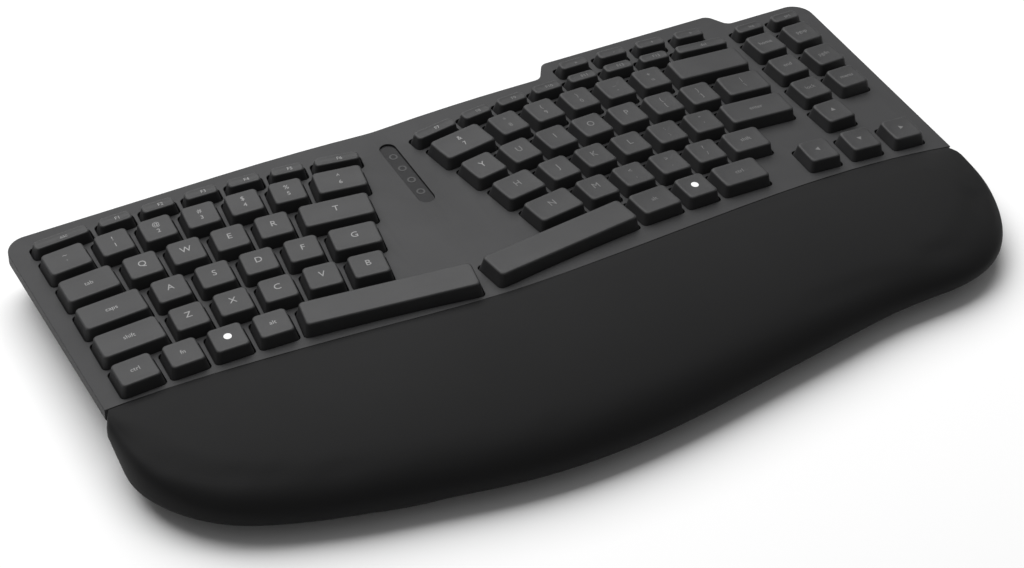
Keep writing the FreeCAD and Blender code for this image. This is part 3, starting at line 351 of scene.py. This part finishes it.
def cap_ring(half_width, half_depth, corner, steps):
    """Points of a rounded rectangle, going round anticlockwise from the right."""
    corner = min(corner, half_width * 0.95, half_depth * 0.95)
    long_steps, short_steps, turns = steps
    ring = []
    centres = [(1, 1, 0), (-1, 1, 90), (-1, -1, 180), (1, -1, 270)]
    for number, (sx, sy, start) in enumerate(centres):
        cx = sx * (half_width - corner)
        cy = sy * (half_depth - corner)
        for turn in range(turns + 1):
            angle = math.radians(start + 90 * turn / turns)
            ring.append((cx + corner * math.cos(angle), cy + corner * math.sin(angle)))
        count = long_steps if number in (0, 2) else short_steps
        nx, ny, following = centres[(number + 1) % 4]
        next_angle = math.radians(following)
        end_x = nx * (half_width - corner) + corner * math.cos(next_angle)
        end_y = ny * (half_depth - corner) + corner * math.sin(next_angle)
        last_x, last_y = ring[-1]
        for step in range(1, count):
            share = step / count
            ring.append((last_x + share * (end_x - last_x), last_y + share * (end_y - last_y)))
    return ring


def build_cap(mould, width, depth, dish):
    """Adds one closed cap with its stem to a bmesh, in the key's own frame."""
    steps = (max(4, round(width / 0.003)), 6, 5)
    rings = []
    top_half_width = width / 2 - CAP_TAPER
    top_half_depth = depth / 2 - CAP_TAPER

    def add_ring(inset, height, corner, share):
        half_width = width / 2 - inset
        half_depth = depth / 2 - inset
        ring = []
        for x, y in cap_ring(half_width, half_depth, corner, steps):
            drop = scoop(x, y, top_half_width, top_half_depth, dish) * share
            ring.append(mould.verts.new((x, y, height - drop)))
        rings.append(ring)

    inner_taper = CAP_TAPER * 0.8
    add_ring(CAP_WALL + inner_taper, CAP_RISE - CAP_ROOF, CAP_CORNER / 2, 1.0)
    add_ring(CAP_WALL, -CAP_SKIRT, CAP_CORNER / 2, 0.0)
    add_ring(CAP_EASE, -CAP_SKIRT, CAP_CORNER, 0.0)
    add_ring(0.0, -CAP_SKIRT + CAP_EASE, CAP_CORNER, 0.0)
    side = CAP_RISE - CAP_SHOULDER
    shoulder_inset = CAP_TAPER * TAPER_BELOW_SHOULDER
    add_ring(CAP_TAPER * 0.5, (side - CAP_SKIRT) / 2, CAP_CORNER, 0.3)
    add_ring(shoulder_inset, side, CAP_CORNER, 0.9)
    for step in range(1, SHOULDER_STEPS + 1):
        angle = math.radians(90 * step / SHOULDER_STEPS)
        inset = shoulder_inset + CAP_SHOULDER * (1 - math.cos(angle))
        add_ring(inset, side + CAP_SHOULDER * math.sin(angle), CAP_CORNER, 1.0)
    start = shoulder_inset + CAP_SHOULDER
    reach = depth / 2 - start
    for share in TOP_SHARES:
        add_ring(start + reach * share, CAP_RISE, CAP_CORNER * (1 - share), 1.0)

    for lower, upper in zip(rings, rings[1:]):
        for index in range(len(lower)):
            following = (index + 1) % len(lower)
            mould.faces.new((lower[index], lower[following], upper[following], upper[index]))
    mould.faces.new(list(reversed(rings[0])))
    mould.faces.new(rings[-1])

    stem = bmesh.ops.create_cube(mould, size=1.0)["verts"]
    roof = CAP_RISE - CAP_ROOF + CAP_EASE
    for vertex in stem:
        vertex.co.x *= STEM_WIDTH
        vertex.co.y *= STEM_DEPTH
        vertex.co.z = roof if vertex.co.z > 0 else -STEM_LOW


def smooth_object(mould, name, sharp=38.0):
    """An object of the scene from a bmesh, smooth except over edges sharper than so many degrees."""
    bmesh.ops.recalc_face_normals(mould, faces=mould.faces)
    limit = math.radians(sharp)
    for face in mould.faces:
        face.smooth = True
    for edge in mould.edges:
        edge.smooth = len(edge.link_faces) == 2 and edge.calc_face_angle(0.0) < limit
    return object_of(mould, name)


key_grey = moulded_plastic("key_grey", (0.034, 0.034, 0.035), grain=0.2, shine=0.5, worn=0.3, specular=0.25)
key_nodes = sorted(node for node in nodes if node.startswith("key") and node != "key_guide_plate")
cap_places = {}
for node in key_nodes:
    dish = SPACE_DISH if "space" in node else CAP_DISH
    cap_places[node] = cap_frames(node)
    mould = bmesh.new()
    for place, width, depth in cap_places[node]:
        before = set(mould.verts)
        build_cap(mould, width, depth, dish)
        for vertex in mould.verts:
            if vertex not in before:
                vertex.co = place @ vertex.co
    caps = smooth_object(mould, node.replace("key", "cap", 1))
    caps.data.materials.append(key_grey)
    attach(caps, body_of_node[node])
    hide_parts(node)

# Stabiliser bars
# A bent spring-steel wire under each space bar, clipped into the cap so that both ends go down together.
bar_steel = metal("bar_steel", (0.6, 0.6, 0.62))
for bar in ("stabiliser_bar_left", "stabiliser_bar_right"):
    finish_node(bar, bar_steel)

# Key legends
# Plain letters, digits and words printed on the caps in pale grey ink, a few hundredths of a millimetre
# thick, near the middle of each top. The system keys carry only a plain white disc.
LETTERS = {
    "key_backquote": "`~", "keys_1_to_5": ["1!", "2@", "3#", "4$", "5%"], "key_6": "6^", "key_7": "7&",
    "keys_8_to_equals": ["8*", "9(", "0)", "-_", "=+"], "key_backspace": "backspace",
    "key_tab": "tab", "keys_q_to_r": "QWER", "key_t": "T", "key_y": "Y",
    "keys_u_to_bracket": ["U", "I", "O", "P", "[{", "]}"], "key_backslash": "\\|",
    "key_caps_lock": "caps", "keys_a_to_f": "ASDF", "key_g": "G", "key_h": "H",
    "keys_j_to_quote": ["J", "K", "L", ";:", "'\""], "key_enter": "enter",
    "key_shift_left": "shift", "keys_z_to_v": "ZXCV", "key_b": "B", "key_n": "N",
    "keys_m_to_slash": ["M", ",<", ".>", "/?"], "key_shift_right": "shift",
    "key_control_left": "ctrl", "keys_modifiers_left": ["fn", "DISC", "alt"],
    "keys_modifiers_right": ["alt", "DISC", "ctrl"],
    "key_escape": "esc", "keys_f1_to_f5": ["F1", "F2", "F3", "F4", "F5"], "key_f6": "F6", "key_f7": "F7",
    "keys_f8_to_f12": ["F8", "F9", "F10", "F11", "F12", "F13"], "key_wide_function": "del",
    "keys_media": ["x", "-", "+", "="], "keys_nav_top": ["ins", "prt"],
    "keys_nav_six": ["home", "pgup", "end", "pgdn", "lock", "menu"],
    "key_arrow_up": "UP", "keys_arrow_row": ["LEFT", "DOWN", "RIGHT"],
}
ARROW_TURNS = {"UP": 0, "LEFT": 90, "DOWN": 180, "RIGHT": 270}
INK_THICKNESS = 0.00002
INK_LIFT = 0.00003
LETTER_SIZE = 0.0046
WORD_SIZE = 0.0031
SMALL_WORD_SIZE = 0.85 * WORD_SIZE
SIGN_SIZE = 0.0034
DISC_RADIUS = 0.0017
ARROW_RADIUS = 0.0014
LOW_CAP_DEPTH = 0.012


def ink_mark(words, size, at_x, at_y):
    """Thin mesh of one printed mark, lying flat round a point of the cap."""
    if words == "DISC":
        mark = bmesh.new()
        bmesh.ops.create_cone(mark, cap_ends=True, segments=28, radius1=DISC_RADIUS, radius2=DISC_RADIUS,
                              depth=2 * INK_THICKNESS)
    elif words in ARROW_TURNS:
        mark = bmesh.new()
        bmesh.ops.create_cone(mark, cap_ends=True, segments=3, radius1=ARROW_RADIUS, radius2=ARROW_RADIUS,
                              depth=2 * INK_THICKNESS)
        turn = Matrix.Rotation(math.radians(ARROW_TURNS[words]), 3, "Z")
        bmesh.ops.rotate(mark, verts=mark.verts, cent=(0, 0, 0), matrix=turn)
    else:
        curve = bpy.data.curves.new("lettering", "FONT")
        curve.body = words
        curve.size = size
        curve.align_x = "CENTER"
        curve.align_y = "CENTER"
        curve.extrude = INK_THICKNESS
        curve.resolution_u = 3
        carrier = bpy.data.objects.new("lettering", curve)
        bpy.context.scene.collection.objects.link(carrier)
        bpy.context.view_layer.update()
        shape = bpy.data.meshes.new_from_object(carrier)
        mark = bmesh.new()
        mark.from_mesh(shape)
        bmesh.ops.remove_doubles(mark, verts=mark.verts, dist=0.000001)
        bpy.data.objects.remove(carrier)
        bpy.data.curves.remove(curve)
        bpy.data.meshes.remove(shape)
    bmesh.ops.translate(mark, verts=mark.verts, vec=(at_x, at_y, 0))
    return mark


def marks_of(words, depth):
    """The marks on one cap: (words, size, x, y) from the middle of its top."""
    if words == "DISC" or words in ARROW_TURNS:
        return [(words, 0, 0, 0.0008)]
    if depth < LOW_CAP_DEPTH:
        return [(words, SMALL_WORD_SIZE, 0.0012, 0)]
    if len(words) == 1:
        return [(words, LETTER_SIZE, 0, 0.0010)]
    if len(words) == 2 and words != "fn":
        return [(words[1], SIGN_SIZE, 0, 0.0026), (words[0], SIGN_SIZE, 0, -0.0016)]
    return [(words, WORD_SIZE, 0, 0.0006)]


ink = moulded_plastic("ink", (0.30, 0.30, 0.30), grain=0.15, shine=0.5, worn=0.0)
# Darker copy of the legend ink for the right half: painted shade, since both halves carry the same print.
ink_painted_shade = moulded_plastic("ink_painted_shade", (0.15, 0.15, 0.15), grain=0.15, shine=0.5, worn=0.0)
ink_bright = moulded_plastic("ink_bright", (0.85, 0.85, 0.85), grain=0.15, shine=0.5, worn=0.0)
for node in sorted(LETTERS):
    words = LETTERS[node]
    caps_in_order = cap_places[node]
    if len(caps_in_order) == 1:
        words = [words]
    if node == "keys_nav_six":
        caps_in_order = sorted(caps_in_order,
                               key=lambda cap: (-round(cap[0].translation.y, 2), cap[0].translation.x))
    printed = bmesh.new()
    for (place, width, depth), label in zip(caps_in_order, words):
        for text, size, x, y in marks_of(label, depth):
            mark = ink_mark(text, size, x, y)
            for vertex in mark.verts:
                drop = scoop(vertex.co.x, vertex.co.y, width / 2 - CAP_TAPER, depth / 2 - CAP_TAPER, CAP_DISH)
                vertex.co.z += CAP_RISE - drop + INK_LIFT
                vertex.co = place @ vertex.co
            for face in mark.faces:
                face.material_index = 1 if text == "DISC" else 0
            loose = bpy.data.meshes.new("loose")
            mark.to_mesh(loose)
            mark.free()
            printed.from_mesh(loose)
            bpy.data.meshes.remove(loose)
    legends = object_of(printed, node.replace("key", "legend", 1))
    # Painted shade: legends on the right half take the darker copy of the ink, those on the left the plain
    # one.
    left_half = cap_places[node][0][0].translation.x < 0
    legends.data.materials.append(ink if left_half else ink_painted_shade)
    legends.data.materials.append(ink_bright)
    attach(legends, body_of_node[node])

# Palm rest carrier
# A rigid black plate under the cushion, screwed to the bottom case.
carrier_black = moulded_plastic("carrier_black", (0.010, 0.010, 0.0105), grain=0.35, shine=0.55)
finish_node("palm_rest_carrier", carrier_black)


# Palm rest cushion
# Foam under a soft matt covering, drawn tight over the carrier and rolled under along the front: low at
# the two ends, highest at the seam with the deck in the middle.
def soft_cover(name, colour):
    """Soft-touch covering: fine pebble, a faint sheen and slow changes of tone where hands have rested."""
    material, tree, shader, place = new_finish(name)
    shader.inputs["Specular IOR Level"].default_value = 0.13
    shader.inputs["Sheen Weight"].default_value = 0.03
    shader.inputs["Sheen Roughness"].default_value = 0.45
    slow = add_node(tree, "TexNoise", {"Scale": 14.0, "Detail": 3.0})
    tones = tone_ramp(tree, colour, dark=(0.3, 0.93), pale=(0.7, 1.06))
    pebble = add_node(tree, "TexVoronoi", {"Scale": 1600.0})
    fine = add_node(tree, "TexNoise", {"Scale": 5000.0})
    height = tree.nodes.new("ShaderNodeMath")
    height.operation = "ADD"
    gloss = add_node(tree, "MapRange", {"To Min": 0.62, "To Max": 0.74})
    bump = add_node(tree, "Bump", {"Strength": 0.25, "Distance": 0.00006})
    link = tree.links.new
    for texture in (slow, pebble, fine):
        link(place, texture.inputs["Vector"])
    link(slow.outputs["Fac"], tones.inputs["Fac"])
    link(tones.outputs["Color"], shader.inputs["Base Color"])
    link(slow.outputs["Fac"], gloss.inputs["Value"])
    link(gloss.outputs["Result"], shader.inputs["Roughness"])
    link(pebble.outputs["Distance"], height.inputs[0])
    link(fine.outputs["Fac"], height.inputs[1])
    link(height.outputs["Value"], bump.inputs["Height"])
    link(bump.outputs["Normal"], shader.inputs["Normal"])
    return material


def ring_of_cut(triangles, x):
    """(y, z) points where a solid is cut across at x."""
    points = []
    for corners in triangles:
        sides = [corner.x > x for corner in corners]
        for first, second in ((0, 1), (1, 2), (2, 0)):
            if sides[first] != sides[second]:
                a, b = corners[first], corners[second]
                share = (x - a.x) / (b.x - a.x)
                points.append((a.y + share * (b.y - a.y), a.z + share * (b.z - a.z)))
    return points


def spaced(points, shares):
    """Points of an open run at given shares of its length."""
    lengths = [(b - a).length for a, b in zip(points, points[1:])]
    total = sum(lengths)
    result = []
    for share in shares:
        target = total * share
        step = 0
        while target > lengths[step] and step < len(lengths) - 1:
            target -= lengths[step]
            step += 1
        result.append(points[step].lerp(points[step + 1], min(1.0, target / lengths[step])))
    return result


CUSHION_CUTS = 120
CUSHION_LINES = 220
CUSHION_CROWN = 0.0040
CUSHION_DEPTH = 0.079
SEAM_TRUE_X = 0.180
SEAM_TREND_CUTS = 6
CUT_MARGIN = 0.0001
SEAM_SLACK = 0.0003
OUTLINE_MARGIN = 0.001
OUTLINE_PASSES = 7
NOSE_RISE = 0.0032
NOSE_TOP = 0.0125
NOSE_TOP_SHARE = 0.62
END_RISE_SHARE = 0.72
END_LEAN = math.tan(math.radians(30))
END_REACH = 0.040
ROLL_FRONT = 0.013
ROLL_SIDE = 0.0035
ROLL_SHARE = 0.32
ROLL_FULLNESS = 2.6
ROLL_UNDER = 0.0045
UNDER_SHARE = 0.25
RIM_PROUD = 0.0036
RIM_FADE = 0.008
FRONT_SWELLS = ((-0.183, 0.025, 0.0052), (-0.108, 0.040, -0.0030), (0.150, 0.032, 0.0040))
REAR_POINTS, TOP_POINTS, ROLL_POINTS, UNDER_POINTS, BASE_POINTS = 5, 26, 12, 4, 8
STUFFING_PRESSURE = 4.0
STUFFING_FRAMES = 20
SWELL_PASSES = 6
SWELL_LIMIT = 0.0007
HEM_WIDTH = 0.0008
solid = nodes["palm_rest_cushion"].data
solid.calc_loop_triangles()
triangles = [[solid.vertices[index].co for index in triangle.vertices] for triangle in solid.loop_triangles]
low_corner, high_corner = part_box("palm_rest_cushion")
base_z = low_corner[2]
end_x = high_corner[0] - CUT_MARGIN
seam_line, front_line, seam_heights = [], [], []
for number in range(CUSHION_CUTS + 1):
    x = -end_x * math.cos(math.pi * number / CUSHION_CUTS)
    cut = ring_of_cut(triangles, x)
    rear = max(y for y, z in cut)
    seam_line.append(Vector((x, rear, 0)))
    front_line.append(Vector((x, min(y for y, z in cut), 0)))
    if abs(x) < SEAM_TRUE_X:
        seam_heights.append((x, max(z for y, z in cut if y > rear - SEAM_SLACK)))


def seam_height(x):
    """Height of the deck's edge along the seam; its slope carries on to both ends."""
    for (x0, z0), (x1, z1) in zip(seam_heights, seam_heights[1:]):
        if x <= x1:
            break
    if x < seam_heights[0][0]:
        (x0, z0), (x1, z1) = seam_heights[0], seam_heights[SEAM_TREND_CUTS]
    if x > seam_heights[-1][0]:
        (x0, z0), (x1, z1) = seam_heights[-1 - SEAM_TREND_CUTS], seam_heights[-1]
    return z0 + (z1 - z0) * (x - x0) / (x1 - x0)


def proud_rim(seam_points, rim_points):
    """The rim pushed out a little all round, and fuller or leaner along the front, where the foam is."""
    proud = [rim_points[0]]
    for before, rim, after, seam in zip(rim_points, rim_points[1:], rim_points[2:], seam_points[1:]):
        along = (after - before).normalized()
        outward = Vector((along.y, -along.x, 0))
        reach = (rim - seam).length
        fuller = sum(height * math.exp(-(((rim.x - x) / width) ** 2)) for x, width, height in FRONT_SWELLS)
        forward = Vector((0, -fuller, 0)) * min(1.0, reach / END_REACH)
        proud.append(rim + outward * RIM_PROUD * min(1.0, reach / RIM_FADE) + forward)
    return proud + [rim_points[-1]]


def cushion_ring(seam, rim):
    """Points round the cushion in the upright plane from the seam to the rim, starting low at the seam."""
    reach = (rim - seam).length
    front = min(1.0, reach / END_REACH)
    front = front * front * (3 - 2 * front)
    rear_top = seam_height(seam.x)
    end_rise = END_RISE_SHARE * (rear_top - base_z)
    rise = end_rise + (NOSE_RISE - end_rise) * front
    middle = base_z + rise
    bend = min(1.0, reach / CUSHION_DEPTH) ** 2
    roll = min(ROLL_SIDE + (ROLL_FRONT - ROLL_SIDE) * bend, ROLL_SHARE * reach)
    under = min(ROLL_UNDER, UNDER_SHARE * reach)
    front_top = base_z + min(NOSE_TOP, NOSE_TOP_SHARE * (rear_top - base_z))
    front_top = rear_top + (front_top - rear_top) * bend ** 0.5
    crown = CUSHION_CROWN * min(1.0, reach / CUSHION_DEPTH)

    def top_height(share):
        return rear_top + (front_top - rear_top) * share + 4 * crown * share * (1 - share)

    run = []
    for step in range(REAR_POINTS):
        run.append((0.0, base_z + (rear_top - base_z) * step / REAR_POINTS))
    flat = 1 - roll / reach
    for step in range(TOP_POINTS):
        share = flat * step / TOP_POINTS
        run.append((share, top_height(share)))
    for step in range(ROLL_POINTS):
        angle = math.pi / 2 * step / ROLL_POINTS
        out = math.sin(angle) ** (2 / ROLL_FULLNESS)
        high = math.cos(angle) ** (2 / ROLL_FULLNESS)
        share = 1 - roll * (1 - out) / reach
        run.append((share, middle + (top_height(share) - middle) * high))
    for step in range(UNDER_POINTS):
        angle = math.pi / 2 * step / UNDER_POINTS
        run.append((1 - under * (1 - math.cos(angle)) / reach, middle - rise * math.sin(angle)))
    for step in range(BASE_POINTS):
        run.append(((1 - under / reach) * (1 - step / BASE_POINTS), base_z))

    ring = []
    inward = Vector((-rim.x, 0, 0)).normalized()
    for share, z in run:
        lean = max(0.0, middle - z) * END_LEAN * (1 - front)
        flat_point = seam.lerp(rim, share) + inward * lean
        ring.append((flat_point.x, flat_point.y, z))
    return ring


def stuff(cushion, ring_size, ring_count):
    """Lets the foam press the covering out between the seam and the underside, which are held fast."""
    held = cushion.vertex_groups.new(name="held")
    loose_from, loose_to = REAR_POINTS + 2, REAR_POINTS + TOP_POINTS + ROLL_POINTS
    for number in range(ring_count):
        start = number * ring_size
        fast = list(range(start, start + loose_from)) + list(range(start + loose_to, start + ring_size))
        held.add(fast, 1.0, "REPLACE")
    stuffing = cushion.modifiers.new("stuffing", "CLOTH")
    stuffing.settings.use_pressure = True
    stuffing.settings.uniform_pressure_force = STUFFING_PRESSURE
    stuffing.settings.effector_weights.gravity = 0.0
    stuffing.settings.vertex_group_mass = "held"
    for number in range(1, STUFFING_FRAMES + 1):
        bpy.context.scene.frame_set(number)
    bpy.ops.object.select_all(action="DESELECT")
    cushion.select_set(True)
    bpy.context.view_layer.objects.active = cushion
    bpy.ops.object.modifier_apply(modifier="stuffing")
    bpy.context.scene.frame_set(1)


outline = [seam_line[0]] + front_line + [seam_line[-1]]
outline_shares = [
    OUTLINE_MARGIN + (1 - 2 * OUTLINE_MARGIN) * number / CUSHION_LINES for number in range(CUSHION_LINES + 1)
]
seam_points = spaced(seam_line, outline_shares)
rim_points = spaced(outline, outline_shares)
for pass_number in range(OUTLINE_PASSES):
    rim_points = [rim_points[0]] + [
        (a + 2 * b + c) / 4 for a, b, c in zip(rim_points, rim_points[1:], rim_points[2:])
    ] + [rim_points[-1]]
rim_points = proud_rim(seam_points, rim_points)
pad = bmesh.new()
rings = [[pad.verts.new(point) for point in cushion_ring(seam, rim)]
         for seam, rim in zip(seam_points, rim_points)]
ring_size = len(rings[0])
for near, far in zip(rings, rings[1:]):
    for index in range(ring_size):
        following = (index + 1) % ring_size
        pad.faces.new((near[index], near[following], far[following], far[index]))
pad.faces.new(rings[0])
pad.faces.new(list(reversed(rings[-1])))
cushion = smooth_object(pad, "cushion", sharp=180.0)
unstuffed = [vertex.co.copy() for vertex in cushion.data.vertices]
stuff(cushion, ring_size, len(rings))
swell = [vertex.co - point for vertex, point in zip(cushion.data.vertices, unstuffed)]
for pass_number in range(SWELL_PASSES):
    for line in range(1, len(rings) - 1):
        for index in range(1, ring_size - 1):
            here = line * ring_size + index
            around = swell[here - 1] + swell[here + 1] + swell[here - ring_size] + swell[here + ring_size]
            swell[here] = (swell[here] * 2 + around) / 6
for vertex, point, moved in zip(cushion.data.vertices, unstuffed, swell):
    if moved.length > SWELL_LIMIT:
        moved = moved * (SWELL_LIMIT / moved.length)
    moved.y = min(moved.y, 0.0)
    vertex.co = point + moved
hem = cushion.modifiers.new("hem", "BEVEL")
hem.width = HEM_WIDTH
hem.segments = 3
hem.limit_method = "ANGLE"
hem.angle_limit = math.radians(50)
cushion.data.materials.append(soft_cover("cushion_cover", (0.0074, 0.0074, 0.0077)))
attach(cushion, body_of_node["palm_rest_cushion"])
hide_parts("palm_rest_cushion")

# Where it stands
# A wide pale table that fades into white, under one large soft lamp high up behind the keyboard and the
# even light of a white room.
TABLE_HALF = 4.0
table_corners = [(-TABLE_HALF, -TABLE_HALF, 0), (TABLE_HALF, -TABLE_HALF, 0),
                 (TABLE_HALF, TABLE_HALF, 0), (-TABLE_HALF, TABLE_HALF, 0)]
table_mesh = bpy.data.meshes.new("table")
table_mesh.from_pydata(table_corners, [], [(0, 1, 2, 3)])
table = bpy.data.objects.new("table", table_mesh)
bpy.context.scene.collection.objects.link(table)
paper = bpy.data.materials.new("paper")
paper.use_nodes = True
paper_shader = paper.node_tree.nodes["Principled BSDF"]
paper_shader.inputs["Base Color"].default_value = (0.93, 0.93, 0.93, 1)
paper_shader.inputs["Roughness"].default_value = 0.9
paper_shader.inputs["Specular IOR Level"].default_value = 0.1
table_mesh.materials.append(paper)

ROOM_LIGHT = 0.20
room = bpy.data.worlds.new("studio")
room.use_nodes = True
room_light = room.node_tree.nodes["Background"]
room_light.inputs["Color"].default_value = (1, 1, 1, 1)
room_light.inputs["Strength"].default_value = ROOM_LIGHT
bpy.context.scene.world = room

SOFTBOX_PLACE = Vector((0, 1.35, 1.9))
SOFTBOX_AIM = Vector((0, 0.1, 0))
SOFTBOX_POWER = 88
softbox_light = bpy.data.lights.new("rear_softbox", "AREA")
softbox_light.shape = "RECTANGLE"
softbox_light.size, softbox_light.size_y = 2.8, 2.4
softbox_light.energy = SOFTBOX_POWER
softbox = bpy.data.objects.new("rear_softbox", softbox_light)
softbox.location = SOFTBOX_PLACE
softbox.rotation_euler = (SOFTBOX_AIM - SOFTBOX_PLACE).to_track_quat("-Z", "Y").to_euler()
bpy.context.scene.collection.objects.link(softbox)

# Camera
# To the left of the middle and above, close to level, with a long lens.
CAMERA_PLACE = Vector((-0.467661, -0.830290, 0.810538))
CAMERA_AZIMUTH = math.radians(28.831)
CAMERA_ELEVATION = math.radians(40.353)
CAMERA_ROLL = math.radians(1.335)
SENSOR_WIDTH = 36.0
IMAGE_WIDTH_PIXELS = 1024.0
FOCAL_PIXELS = 2938.0
ahead = Vector((math.sin(CAMERA_AZIMUTH), math.cos(CAMERA_AZIMUTH), 0))
right = Vector((math.cos(CAMERA_AZIMUTH), -math.sin(CAMERA_AZIMUTH), 0))
look = ahead * math.cos(CAMERA_ELEVATION) - Vector((0, 0, math.sin(CAMERA_ELEVATION)))
upward = ahead * math.sin(CAMERA_ELEVATION) + Vector((0, 0, math.cos(CAMERA_ELEVATION)))
side_axis = right * math.cos(CAMERA_ROLL) + upward * math.sin(CAMERA_ROLL)
up_axis = upward * math.cos(CAMERA_ROLL) - right * math.sin(CAMERA_ROLL)
camera_data = bpy.data.cameras.new("camera")
camera_data.sensor_width = SENSOR_WIDTH
camera_data.lens = FOCAL_PIXELS * SENSOR_WIDTH / IMAGE_WIDTH_PIXELS
camera = bpy.data.objects.new("camera", camera_data)
camera.matrix_world = Matrix((
    (side_axis.x, up_axis.x, -look.x, CAMERA_PLACE.x),
    (side_axis.y, up_axis.y, -look.y, CAMERA_PLACE.y),
    (side_axis.z, up_axis.z, -look.z, CAMERA_PLACE.z),
    (0, 0, 0, 1),
))
bpy.context.scene.collection.objects.link(camera)
bpy.context.scene.camera = camera
bpy.context.scene.view_settings.view_transform = "Standard"
